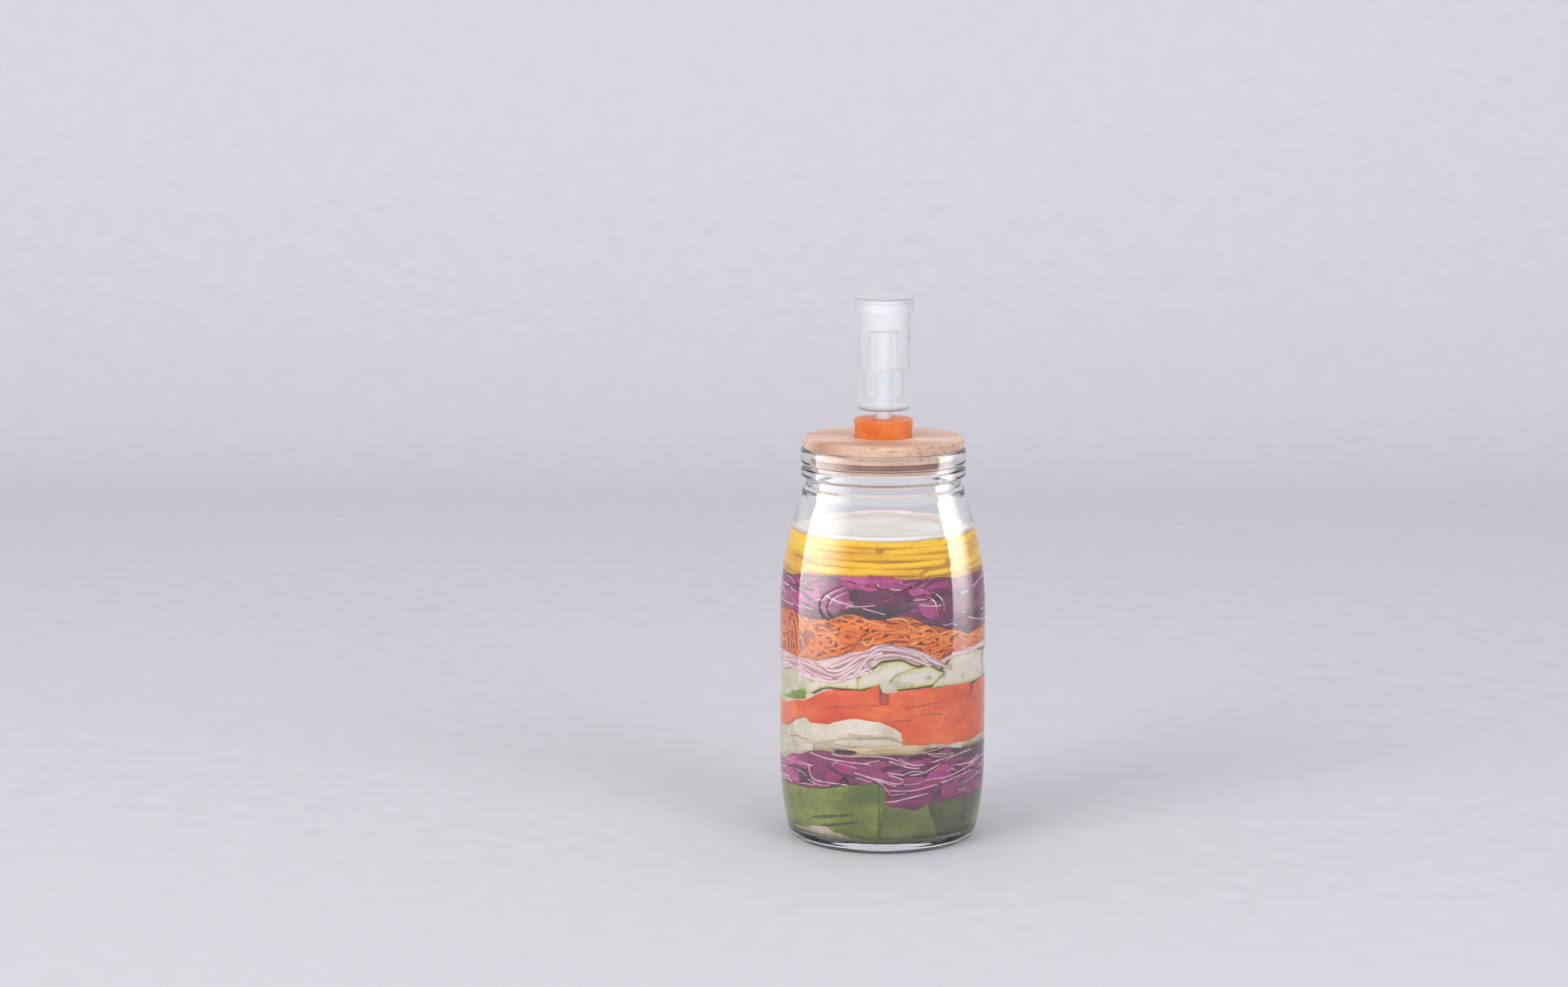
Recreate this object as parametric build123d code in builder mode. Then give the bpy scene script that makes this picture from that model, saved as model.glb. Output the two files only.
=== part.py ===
from build123d import *
from math import cos, radians, sin, sqrt, tan
import os

os.makedirs("parts", exist_ok=True)

# Glass jar: outside
jar_height = 269.0
body_radius = 70.0
heel_height = 58.0  # below this the wall curves in towards the base
heel_sweep_radius = 240.0
heel_round = 10.0
shoulder_length = 80.0  # how far up the wall curves in towards the neck
foot_width = 14.0  # of the ring that the jar stands on
push_up = 2.5

# Glass jar: inside
wall = 3.6
floor_thickness = 8.0
inner_heel_round = 8.0
mouth_radius = 49.5
bore_rise = 4.6  # from the shoulder's top to where the mouth's bore starts

# Glass jar: neck, how thick the glass is outside the bore
bead_wall = 6.4
groove_wall = 4.7
recess_wall = 3.3
collar_wall = 5.3
shoulder_end_wall = 6.1

# Glass jar: neck, heights from the rim down
rim_band_height = 9.4
bead_slope = 1.2
groove_height = 2.0
bead_height = 4.6
recess_slope = 1.8
recess_height = 5.0
collar_height = 5.0
neck_round = 0.6
rim_round = 1.6

# Wooden lid
lid_inset = 1.2  # how far its edge stays inside the glass rim's
lid_thickness = 7.0
plug_depth = 13.0
plug_gap = 1.5  # between the plug's wood and the glass
lid_seat_gap = 0.2
lid_round = 2.2
lid_edge_round = 1.0
plug_round = 1.0

# Seal ring in the plug's groove
seal_height = 3.6
seal_drop = 6.0  # from the lid's underside to the top of the ring
seal_depth = 2.4  # how deep the groove goes into the wood
seal_gap = 0.3  # between the ring and the glass
seal_slack = 0.1  # between the ring and its groove
seal_lip_height = 1.2

# Bung
bung_top_radius = 20.0
bung_show = 12.4  # how far it stands above the lid
bung_below = 3.0  # how far it reaches below the plug
bung_taper = 3.2  # degrees
bung_gap = 0.3
bung_round = 1.0
bung_tip_round = 0.6

# Airlock cup, standpipe and stem
stem_radius = 5.5
stem_wall = 1.2
stem_gap = 0.25
stem_show = 6.3  # between the bung and the cup
stem_below = 3.0  # how far it reaches below the bung
cup_radius = 17.9
cup_wall = 1.4
cup_floor = 1.8
cup_height = 74.5
cup_round = 2.4
cup_inner_round = 1.4
standpipe_height = 50.0  # above the cup's floor

# Airlock cap
cap_radius = 20.3
cap_wall = 1.2
cap_top = 1.5
cap_height = 9.0
cap_round = 1.8
cap_seat_gap = 0.3
cap_lip_radius = 20.6
cap_lip_height = 1.5
snap_gap = 0.3  # between the cup's rim bead and the cap
snap_bead_height = 2.2
vent_radius = 0.75
vent_count = 4
vent_circle_radius = 8.0

# Airlock float, an upside-down cup over the standpipe
float_radius = 10.6
float_wall = 1.2
float_top = 1.5
float_seat_gap = 0.3
float_rim_gap = 3.4  # between its rim and the cup's floor
float_round = 1.6
notch_count = 4
notch_width = 2.4
notch_height = 3.0

# Water in the airlock
water_depth = 25.5
water_gap = 0.3

# Brine and what it covers
brine_drop = 53.5  # from the rim down to its surface
brine_cover = 1.9  # over the vegetables
film_gap = 0.2
film_thickness = 1.0

# Ceramic stones
stone_share = 0.57  # of the body's radius, less than the mouth's
stone_thickness = 11.6
stone_round = 3.0
stone_gap = 0.3  # under and between the stones
stone_side_gap = 3.0  # from the stones to the vegetables round them

# Layers of vegetables, from the floor up: where each ends at the jar's axis, as a share of the height
# from the floor to the stones, and how it slopes there, in degrees
layers = (
    "green_pepper",
    "lower_cabbage",
    "cauliflower",
    "red_pepper",
    "courgette",
    "red_onion",
    "carrot",
    "upper_cabbage",
    "yellow_pepper",
)
layer_top_shares = (0.198, 0.358, 0.458, 0.6, 0.694, 0.736, 0.86, 1.0)
layer_angles = (5.0, -2.0, 6.5, -4.0, -6.0, -3.0, 2.0, 0.0)

# Loops of carrot noodle that show round the side of their layer
noodle_radius = 1.8
noodle_loop_radius = 6.2
noodle_loop_pairs = 10
noodle_stagger = 1.4  # up and down, from one loop to the next
noodle_sink = 0.5  # keeps the flat loops inside the round side of the layer
noodle_show = 3.0  # how far they stand out from the layer's core

# Strips of shredded leaf that show round the side of the cabbage layers
shred_height = 4.6
shred_arc = 27.0
shred_tilt = 9.0  # up and down in turn
shred_rows = 3
shred_row_spacing = 8.6
shreds_in_row = 10
shred_show = 2.6

overrun = 20.0  # how far a cutting shape runs past what it cuts

# Places worked out from the sizes above
neck_bead_radius = mouth_radius + bead_wall
neck_groove_radius = mouth_radius + groove_wall
neck_recess_radius = mouth_radius + recess_wall
band_low = jar_height - rim_band_height
groove_high = band_low - bead_slope
groove_low = groove_high - groove_height
bead_high = groove_low - bead_slope
bead_low = bead_high - bead_height
recess_high = bead_low - recess_slope
recess_low = recess_high - recess_height
collar_high = recess_low - recess_slope
shoulder_top = collar_high - collar_height
shoulder_start = shoulder_top - shoulder_length
heel_centre = body_radius - heel_sweep_radius
lid_radius = neck_bead_radius - lid_inset
brine_level = jar_height - brine_drop
contents_top = brine_level - brine_cover
stone_radius = body_radius * stone_share
lid_under = jar_height + lid_seat_gap
lid_upper = lid_under + lid_thickness
plug_under = lid_under - plug_depth
plug_radius = mouth_radius - plug_gap
bung_upper = lid_upper + bung_show
bung_under = plug_under - bung_below
stem_under = bung_under - stem_below
cup_under = bung_upper + stem_show
cup_inside = cup_under + cup_floor
cup_inner_radius = cup_radius - cup_wall
cup_upper = cup_under + cup_height
cap_under = cup_upper + cap_seat_gap
cap_upper = cap_under + cap_top
cap_inner_radius = cap_radius - cap_wall
pipe_upper = cup_inside + standpipe_height
float_inside = pipe_upper + float_seat_gap
float_upper = float_inside + float_top
float_under = cup_inside + float_rim_gap
float_inner_radius = float_radius - float_wall
water_level = cup_inside + water_depth
bung_slope = tan(radians(bung_taper))


def sweep(drop, rise):
    """Radius of an arc that starts upright and closes in by drop over rise."""
    return (drop**2 + rise**2) / (2 * drop)


outer_sweep = sweep(body_radius - mouth_radius - shoulder_end_wall, shoulder_length)
inner_sweep = sweep(body_radius - wall - mouth_radius, shoulder_length + bore_rise)


def heel_radius(inset, z):
    """Radius of the wall's curve over the base at height z, this far in from the outside."""
    return heel_centre + sqrt((heel_sweep_radius - inset) ** 2 - (heel_height - z) ** 2)


def shoulder_radius(inset, z):
    """Radius of the shoulder at height z: the outside for no inset, and otherwise this far in."""
    arc = outer_sweep if inset == 0 else inner_sweep + wall - inset
    return body_radius - inset - arc + sqrt(arc**2 - (z - shoulder_start) ** 2)


def bore_start(inset):
    """Height where the shoulder, this far in, has closed to the mouth's bore."""
    arc = inner_sweep + wall - inset
    across = mouth_radius + wall - body_radius + arc
    return shoulder_start + sqrt(arc**2 - across**2)


def cavity(inset, low, high):
    """Sketch lines of the jar's inside, this far in from the outside, from height low to height high."""
    side = body_radius - inset
    heel_middle = (low + heel_height) / 2
    top = min(high, bore_start(inset))
    top_radius = shoulder_radius(inset, top)
    top_middle = (shoulder_start + top) / 2
    Line((0, low), (heel_radius(inset, low), low))
    heel_points = [(heel_radius(inset, low), low), (heel_radius(inset, heel_middle), heel_middle)]
    ThreePointArc(*heel_points, (side, heel_height))
    Line((side, heel_height), (side, shoulder_start))
    shoulder_points = [(side, shoulder_start), (shoulder_radius(inset, top_middle), top_middle)]
    ThreePointArc(*shoulder_points, (top_radius, top))
    if high > top:
        Line((top_radius, top), (top_radius, high))
    Polyline((top_radius, high), (0, high), (0, low))


def corner(x, z):
    """The corner of the sketch under way that lies at radius x and height z."""
    return vertices().sort_by_distance((x, z))[0]


def ring(low, high, inner, outer):
    """Sketch lines of a plain ring's section."""
    Polyline((inner, low), (outer, low), (outer, high), (inner, high), close=True)


# Glass jar
foot_radius = heel_radius(0, 0)
foot_inner = foot_radius - foot_width
with BuildPart() as glass_jar:
    with BuildSketch(Plane.XZ) as jar_outside:
        with BuildLine():
            # the base, pushed up in the middle, and the ring it stands on
            ThreePointArc((0, push_up), (foot_inner / 2, push_up * 3 / 4), (foot_inner, 0))
            Line((foot_inner, 0), (foot_radius, 0))
            heel_middle = heel_height / 2
            heel_points = [(foot_radius, 0), (heel_radius(0, heel_middle), heel_middle)]
            ThreePointArc(*heel_points, (body_radius, heel_height))
            Line((body_radius, heel_height), (body_radius, shoulder_start))
            shoulder_middle = (shoulder_start + shoulder_top) / 2
            shoulder_end = (shoulder_radius(0, shoulder_top), shoulder_top)
            shoulder_points = [
                (body_radius, shoulder_start),
                (shoulder_radius(0, shoulder_middle), shoulder_middle),
            ]
            ThreePointArc(*shoulder_points, shoulder_end)
            # the neck, from the shoulder up
            Polyline(
                shoulder_end,
                (mouth_radius + collar_wall, collar_high),
                (neck_recess_radius, recess_low),
                (neck_recess_radius, recess_high),
                (neck_bead_radius, bead_low),
                (neck_bead_radius, bead_high),
                (neck_groove_radius, groove_low),
                (neck_groove_radius, groove_high),
                (neck_bead_radius, band_low),
                (neck_bead_radius, jar_height),
                (0, jar_height),
                (0, push_up),
            )
        make_face()
        neck_corners = vertices().filter_by_position(Axis.Y, collar_high - neck_round, band_low + neck_round)
        fillet(neck_corners, neck_round)
        fillet(corner(neck_bead_radius, jar_height), rim_round)
        fillet(corner(foot_radius, 0), heel_round)
    revolve(axis=Axis.Z)
    with BuildSketch(Plane.XZ) as jar_inside:
        with BuildLine():
            cavity(wall, floor_thickness, jar_height + overrun)
        make_face()
        fillet(corner(heel_radius(wall, floor_thickness), floor_thickness), inner_heel_round)
    revolve(axis=Axis.Z, mode=Mode.SUBTRACT)
    lip = edges().filter_by(GeomType.CIRCLE).filter_by(lambda e: abs(e.radius - mouth_radius) < neck_round)
    fillet(lip.sort_by(Axis.Z)[-1], rim_round)
glass_jar.part.label = "glass_jar"
export_step(glass_jar.part, "parts/glass_jar.step")

# Wooden lid: a disc with a plug that drops into the mouth, and a tapered hole for the bung
seal_upper = lid_under - seal_drop
seal_lower = seal_upper - seal_height
groove_radius = plug_radius - seal_depth
with BuildPart() as wooden_lid:
    with BuildSketch(Plane.XZ) as lid_section:
        with BuildLine():
            hole_upper = bung_top_radius - bung_show * bung_slope + bung_gap
            hole_lower = hole_upper - (lid_thickness + plug_depth) * bung_slope
            Polyline(
                (hole_lower, plug_under),
                (plug_radius, plug_under),
                (plug_radius, seal_lower),
                (groove_radius, seal_lower),
                (groove_radius, seal_upper),
                (plug_radius, seal_upper),
                (plug_radius, lid_under),
                (lid_radius, lid_under),
                (lid_radius, lid_upper),
                (hole_upper, lid_upper),
                close=True,
            )
        make_face()
        fillet(corner(lid_radius, lid_upper), lid_round)
        fillet(corner(lid_radius, lid_under), lid_edge_round)
        fillet(corner(plug_radius, plug_under), plug_round)
    revolve(axis=Axis.Z)
wooden_lid.part.label = "wooden_lid"
export_step(wooden_lid.part, "parts/wooden_lid.step")

# Seal ring: sits in the plug's groove, with a lip that reaches out to the glass
with BuildPart() as lid_seal:
    with BuildSketch(Plane.XZ) as seal_section:
        with BuildLine():
            seal_middle = (seal_upper + seal_lower) / 2
            seal_inner = groove_radius + seal_slack
            lip_reach = mouth_radius - seal_gap
            Polyline(
                (seal_inner, seal_lower + seal_slack),
                (plug_radius, seal_lower + seal_slack),
                (lip_reach, seal_middle - seal_lip_height / 2),
                (lip_reach, seal_middle + seal_lip_height / 2),
                (plug_radius, seal_upper - seal_slack),
                (seal_inner, seal_upper - seal_slack),
                close=True,
            )
        make_face()
    revolve(axis=Axis.Z)
lid_seal.part.label = "lid_seal"
export_step(lid_seal.part, "parts/lid_seal.step")

# Bung: a tapered silicone stopper, bored for the airlock's stem
with BuildPart() as bung:
    with BuildSketch(Plane.XZ) as bung_section:
        with BuildLine():
            bung_bore = stem_radius + stem_gap
            bung_tip_radius = bung_top_radius - (bung_upper - bung_under) * bung_slope
            Polyline(
                (bung_bore, bung_under),
                (bung_tip_radius, bung_under),
                (bung_top_radius, bung_upper),
                (bung_bore, bung_upper),
                close=True,
            )
        make_face()
        fillet(corner(bung_top_radius, bung_upper), bung_round)
        fillet(corner(bung_tip_radius, bung_under), bung_tip_round)
        chamfer(corner(bung_bore, bung_upper), bung_tip_round)
    revolve(axis=Axis.Z)
bung.part.label = "bung"
export_step(bung.part, "parts/bung.step")

# Airlock cup with its standpipe and stem, moulded in one
with BuildPart() as airlock_body:
    with BuildSketch(Plane.XZ) as cup_section:
        with BuildLine():
            Polyline(
                (stem_radius, stem_under),
                (stem_radius, cup_under),
                (cup_radius, cup_under),
                (cup_radius, cup_upper - snap_bead_height),
                (cap_inner_radius - snap_gap, cup_upper - snap_bead_height / 2),
                (cap_inner_radius - snap_gap, cup_upper),
                (cup_inner_radius, cup_upper),
                (cup_inner_radius, cup_inside),
                (stem_radius, cup_inside),
                (stem_radius, pipe_upper),
                (stem_radius - stem_wall, pipe_upper),
                (stem_radius - stem_wall, stem_under),
                close=True,
            )
        make_face()
        fillet(corner(cup_radius, cup_under), cup_round)
        fillet(corner(cup_inner_radius, cup_inside), cup_inner_round)
    revolve(axis=Axis.Z)
airlock_body.part.label = "airlock_body"
export_step(airlock_body.part, "parts/airlock_body.step")

# Airlock float: rests upside down over the standpipe, its rim notched for the gas
with BuildPart() as airlock_float:
    with BuildSketch(Plane.XZ) as float_section:
        with BuildLine():
            Polyline(
                (float_inner_radius, float_under),
                (float_radius, float_under),
                (float_radius, float_upper),
                (0, float_upper),
                (0, float_inside),
                (float_inner_radius, float_inside),
                close=True,
            )
        make_face()
        fillet(corner(float_radius, float_upper), float_round)
    revolve(axis=Axis.Z)
    with BuildSketch(Plane.XY.offset(float_under)) as rim_notches:
        with PolarLocations(float_radius, notch_count, start_angle=45):
            Rectangle(float_wall * 4, notch_width)
    extrude(amount=notch_height, mode=Mode.SUBTRACT)
airlock_float.part.label = "airlock_float"
export_step(airlock_float.part, "parts/airlock_float.step")

# Airlock cap: snaps over the cup's rim, with vents for the gas
with BuildPart() as airlock_cap:
    with BuildSketch(Plane.XZ) as cap_section:
        cap_lower = cap_upper - cap_height
        with BuildLine():
            Polyline(
                (0, cap_under),
                (cap_inner_radius, cap_under),
                (cap_inner_radius, cap_lower),
                (cap_lip_radius, cap_lower),
                (cap_lip_radius, cap_lower + cap_lip_height),
                (cap_radius, cap_lower + cap_lip_height),
                (cap_radius, cap_upper),
                (0, cap_upper),
                close=True,
            )
        make_face()
        fillet(corner(cap_radius, cap_upper), cap_round)
    revolve(axis=Axis.Z)
    with Locations((0, 0, cap_upper)):
        with PolarLocations(vent_circle_radius, vent_count):
            Hole(vent_radius)
airlock_cap.part.label = "airlock_cap"
export_step(airlock_cap.part, "parts/airlock_cap.step")

# Water in the airlock, open where the float's wall stands in it
with BuildPart() as airlock_water:
    with BuildSketch(Plane.XZ) as water_section:
        with BuildLine():
            water_floor = cup_inside + water_gap
            water_radius = cup_inner_radius - water_gap
            ring(water_floor, water_level, stem_radius + water_gap, water_radius)
        make_face()
        fillet(corner(water_radius, water_floor), cup_inner_round - water_gap)
    revolve(axis=Axis.Z)
    with BuildSketch(Plane.XZ) as float_slot:
        with BuildLine():
            slot_floor = float_under - water_gap
            slot_top = water_level + overrun
            ring(slot_floor, slot_top, float_inner_radius - water_gap, float_radius + water_gap)
        make_face()
    revolve(axis=Axis.Z, mode=Mode.SUBTRACT)
airlock_water.part.label = "airlock_water"
export_step(airlock_water.part, "parts/airlock_water.step")

# Ceramic stones, one on the other, let into the top of the vegetables
upper_stone_under = contents_top - stone_gap - stone_thickness
lower_stone_under = upper_stone_under - stone_gap - stone_thickness
for name, stone_under in (("lower_stone", lower_stone_under), ("upper_stone", upper_stone_under)):
    with BuildPart() as stone:
        with BuildSketch(Plane.XY.offset(stone_under)):
            Circle(stone_radius)
        extrude(amount=stone_thickness)
        fillet(edges().filter_by(GeomType.CIRCLE), stone_round)
    stone.part.label = name
    export_step(stone.part, f"parts/{name}.step")
stone_hole_radius = stone_radius + stone_side_gap
stone_hole_floor = lower_stone_under - stone_gap

# Brine: a film between the vegetables and the glass, and the layer that covers them
brine_inset = wall + film_gap
contents_inset = brine_inset + film_thickness + film_gap
brine_floor = floor_thickness + film_gap
contents_heel_round = inner_heel_round - film_thickness - film_gap
with BuildPart() as brine:
    with BuildSketch(Plane.XZ):
        with BuildLine():
            cavity(brine_inset, brine_floor, brine_level)
        make_face()
        fillet(corner(heel_radius(brine_inset, brine_floor), brine_floor), inner_heel_round - film_gap)
    revolve(axis=Axis.Z)
    with BuildSketch(Plane.XZ):
        with BuildLine():
            cavity(contents_inset - film_gap, floor_thickness, contents_top + film_gap)
        make_face()
        film_corner = corner(heel_radius(contents_inset - film_gap, floor_thickness), floor_thickness)
        fillet(film_corner, contents_heel_round)
    revolve(axis=Axis.Z, mode=Mode.SUBTRACT)
    with BuildSketch(Plane.XY.offset(contents_top)):
        Circle(stone_hole_radius)
    extrude(amount=overrun, mode=Mode.SUBTRACT)
brine.part.label = "brine"
export_step(brine.part, "parts/brine.step")

# Noodle loops and leaf strips, and the gaps between them that are cut from the side of a layer
pile_height = stone_hole_floor - brine_floor
layer_tops = [brine_floor + share * pile_height for share in layer_top_shares]


def layer_middle(name):
    place = layers.index(name)
    return (layer_tops[place - 1] + layer_tops[place]) / 2


def gaps_between(pieces, show):
    with BuildPart() as gaps:
        with BuildSketch(Plane.XZ):
            with BuildLine():
                cavity(wall, floor_thickness, brine_level)
            make_face()
        revolve(axis=Axis.Z)
        with BuildSketch(Plane.XZ):
            with BuildLine():
                cavity(contents_inset + show, floor_thickness, brine_level)
            make_face()
        revolve(axis=Axis.Z, mode=Mode.SUBTRACT)
        add(pieces, mode=Mode.SUBTRACT)
    return gaps.part


with BuildPart() as noodle_loops:
    loop_distance = body_radius - contents_inset - noodle_radius - noodle_sink
    loop_step = 360 / noodle_loop_pairs
    for stagger, turn in ((noodle_stagger, 0), (-noodle_stagger, loop_step / 2)):
        with Locations((0, 0, layer_middle("carrot") + stagger)):
            with PolarLocations(loop_distance, noodle_loop_pairs, start_angle=turn):
                Torus(noodle_loop_radius, noodle_radius, rotation=(0, 90, 0))

with BuildPart() as leaf_strip:
    with BuildSketch(Plane.XZ):
        with BuildLine():
            ring(-shred_height / 2, shred_height / 2, mouth_radius, body_radius)
        make_face()
    revolve(axis=Axis.Z, revolution_arc=shred_arc)

side_gaps = {"carrot": gaps_between(noodle_loops.part, noodle_show)}
for name in ("lower_cabbage", "upper_cabbage"):
    strips = []
    for row in range(shred_rows):
        row_height = layer_middle(name) + (row - (shred_rows - 1) / 2) * shred_row_spacing
        for place in range(shreds_in_row):
            turn = (place + row / shred_rows) * 360 / shreds_in_row
            tilt = shred_tilt * (-1) ** (place + row)
            seat = Pos(0, 0, row_height) * Rot(0, 0, turn) * Rot(tilt, 0, 0) * Rot(0, 0, -shred_arc / 2)
            strips.append(seat * leaf_strip.part)
    side_gaps[name] = gaps_between(strips, shred_show)

# Layers of vegetables, each cut from the pile by the sloping planes below and above it
layer_tilts = [(sin(radians(angle)), 0, cos(radians(angle))) for angle in layer_angles]
cuts = [Plane(origin=(0, 0, top), z_dir=tilt) for top, tilt in zip(layer_tops, layer_tilts)]
for place, name in enumerate(layers):
    with BuildPart() as layer:
        with BuildSketch(Plane.XZ):
            with BuildLine():
                cavity(contents_inset, brine_floor, contents_top)
            make_face()
            fillet(corner(heel_radius(contents_inset, brine_floor), brine_floor), contents_heel_round)
        revolve(axis=Axis.Z)
        if place > 0:
            split(bisect_by=cuts[place - 1], keep=Keep.TOP)
        if place < len(cuts):
            split(bisect_by=cuts[place], keep=Keep.BOTTOM)
        else:
            with BuildSketch(Plane.XY.offset(stone_hole_floor)):
                Circle(stone_hole_radius)
            extrude(amount=overrun * 2, mode=Mode.SUBTRACT)
        if name in side_gaps:
            add(side_gaps[name], mode=Mode.SUBTRACT)
    layer.part.label = name
    export_step(layer.part, f"parts/{name}.step")

print("jar height", jar_height, "overall height", round(cap_upper, 2))
print("water level", round(water_level, 2), "float top", round(float_upper, 2))
print("stones under", round(lower_stone_under, 2), round(upper_stone_under, 2))
print("stem under", round(stem_under, 2), "layers end at", [round(top, 1) for top in layer_tops])
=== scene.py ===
import random
from math import atan, atan2, cos, degrees, hypot, pi, radians, sin, sqrt, tan

import bpy
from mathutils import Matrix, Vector, noise


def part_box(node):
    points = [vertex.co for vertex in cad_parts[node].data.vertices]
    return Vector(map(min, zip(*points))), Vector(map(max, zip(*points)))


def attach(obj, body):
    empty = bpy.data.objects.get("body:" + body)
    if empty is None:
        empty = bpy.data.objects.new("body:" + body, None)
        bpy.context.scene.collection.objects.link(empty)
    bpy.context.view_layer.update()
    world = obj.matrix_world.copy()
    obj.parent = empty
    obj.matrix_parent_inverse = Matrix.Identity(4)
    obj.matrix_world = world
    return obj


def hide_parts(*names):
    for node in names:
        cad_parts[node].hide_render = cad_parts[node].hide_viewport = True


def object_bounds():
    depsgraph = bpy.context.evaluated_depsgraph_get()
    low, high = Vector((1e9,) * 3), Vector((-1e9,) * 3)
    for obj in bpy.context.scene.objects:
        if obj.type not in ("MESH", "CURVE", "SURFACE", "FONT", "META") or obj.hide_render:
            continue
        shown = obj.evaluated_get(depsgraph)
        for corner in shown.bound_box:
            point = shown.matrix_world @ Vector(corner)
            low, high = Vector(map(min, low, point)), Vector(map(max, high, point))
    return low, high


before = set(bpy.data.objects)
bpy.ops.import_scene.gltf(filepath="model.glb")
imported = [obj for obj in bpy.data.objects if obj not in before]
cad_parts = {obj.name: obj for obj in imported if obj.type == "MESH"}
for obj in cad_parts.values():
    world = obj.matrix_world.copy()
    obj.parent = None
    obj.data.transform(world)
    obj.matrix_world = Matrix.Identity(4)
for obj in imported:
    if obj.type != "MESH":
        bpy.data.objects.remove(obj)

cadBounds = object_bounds()
mm = 0.001
scene = bpy.context.scene
luck = random.Random(31)


# small tools

def clearSelection():
    if bpy.context.object and bpy.context.object.mode != "OBJECT":
        bpy.ops.object.mode_set(mode="OBJECT")
    bpy.ops.object.select_all(action="DESELECT")


def colour(red, green, blue):
    # screen values 0 to 255 to the linear values that the nodes want
    return tuple((value / 255) ** 2.2 for value in (red, green, blue)) + (1,)


def shade(value):
    # one number is a grey, three are screen values and four are linear
    if not isinstance(value, tuple):
        return (value, value, value, 1)
    return colour(*value) if len(value) == 3 else value


def setInputs(node, inputs=None, **values):
    # a number or colour is set on its socket, and another node's output is linked to it
    inputs = inputs or {key.replace("_", " "): value for key, value in values.items()}
    for key, value in inputs.items():
        if isinstance(value, bpy.types.NodeSocket):
            node.id_data.links.new(value, node.inputs[key])
        else:
            node.inputs[key].default_value = value


def addNode(material, kind, inputs=None, **settings):
    node = material.node_tree.nodes.new(kind)
    for key, value in settings.items():
        setattr(node, key, value)
    setInputs(node, inputs)
    return node


def newMaterial(name):
    material = bpy.data.materials.new(name)
    material.use_nodes = True
    return material, material.node_tree.nodes["Principled BSDF"], material.node_tree.nodes["Material Output"]


def noiseAt(material, scale, stretch=(1, 1, 1), detail=3, roughness=0.5):
    # noise on object coordinates; stretch below 1 draws it out along that axis
    place = addNode(material, "ShaderNodeTexCoord").outputs["Object"]
    spot = addNode(material, "ShaderNodeMapping", {"Vector": place, "Scale": stretch}).outputs["Vector"]
    inputs = {"Vector": spot, "Scale": scale, "Detail": detail, "Roughness": roughness}
    return addNode(material, "ShaderNodeTexNoise", inputs).outputs["Fac"]


def ramp(material, source, stops, interpolation="LINEAR"):
    node = addNode(material, "ShaderNodeValToRGB", {"Fac": source})
    band = node.color_ramp
    band.interpolation = interpolation
    while len(band.elements) < len(stops):
        band.elements.new(0.5)
    for element, (position, value) in zip(band.elements, stops):
        element.position = position
        element.color = shade(value)
    return node.outputs["Color"]


def maths(material, operation, *values):
    return addNode(material, "ShaderNodeMath", dict(enumerate(values)), operation=operation).outputs["Value"]


def mixColours(material, share, first, second, blend="MULTIPLY"):
    inputs = {0: share, 6: first, 7: second}
    return addNode(material, "ShaderNodeMix", inputs, data_type="RGBA", blend_type=blend).outputs[2]


def mixShaders(material, share, first, second):
    return addNode(material, "ShaderNodeMixShader", {0: share, 1: first, 2: second}).outputs["Shader"]


def addBump(material, shader, height, strength, distance):
    bump = addNode(material, "ShaderNodeBump", {"Height": height, "Strength": strength, "Distance": distance})
    setInputs(shader, Normal=bump.outputs["Normal"])


def rounded(corners, steps=5):
    # corners are (radius, height) or (radius, height, rounding); the ends stay as they are
    points = []
    for place, corner in enumerate(corners):
        if len(corner) < 3 or place in (0, len(corners) - 1):
            points.append(corner[:2])
            continue
        here = Vector(corner[:2])
        before = Vector(corners[place - 1][:2]) - here
        after = Vector(corners[place + 1][:2]) - here
        half = before.angle(after) / 2
        reach = corner[2] / tan(half)
        middle = here + (before.normalized() + after.normalized()).normalized() * (corner[2] / sin(half))
        start = here + before.normalized() * reach - middle
        end = here + after.normalized() * reach - middle
        for share in levels(0, 1, steps):
            points.append(tuple(middle + (start * (1 - share) + end * share).normalized() * corner[2]))
    return points


def turned(name, points, look, steps=128):
    # a vertex is extruded along the half section (radius, height in mm) and spun round the axis
    clearSelection()
    bpy.ops.mesh.primitive_plane_add(size=mm)
    piece = bpy.context.object
    bpy.ops.object.mode_set(mode="EDIT")
    bpy.ops.mesh.merge(type="CENTER")
    bpy.ops.transform.translate(value=(points[0][0] * mm, 0, points[0][1] * mm))
    for start, end in zip(points, points[1:]):
        step = ((end[0] - start[0]) * mm, 0, (end[1] - start[1]) * mm)
        bpy.ops.mesh.extrude_vertices_move(TRANSFORM_OT_translate={"value": step})
    bpy.ops.mesh.select_all(action="SELECT")
    bpy.ops.mesh.spin(steps=steps, angle=2 * pi, center=(0, 0, 0), axis=(0, 0, 1))
    bpy.ops.mesh.select_all(action="SELECT")
    bpy.ops.mesh.remove_doubles(threshold=0.002 * mm)
    bpy.ops.mesh.normals_make_consistent(inside=False)
    bpy.ops.object.mode_set(mode="OBJECT")
    bpy.ops.object.shade_smooth_by_angle(angle=radians(35))
    piece.name = piece.data.name = name
    piece.data.materials.append(look)
    return piece


def dress(piece, node, body):
    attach(piece, body)
    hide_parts(node)


def lightOnly(name, lights, pieces):
    # these lights reach these pieces and nothing else
    lit = bpy.data.collections.new(name)
    for piece in pieces:
        lit.objects.link(piece)
    for light in lights:
        bpy.data.objects[light].light_linking.receiver_collection = lit


# the jar's shape, as in the model (mm)

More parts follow.
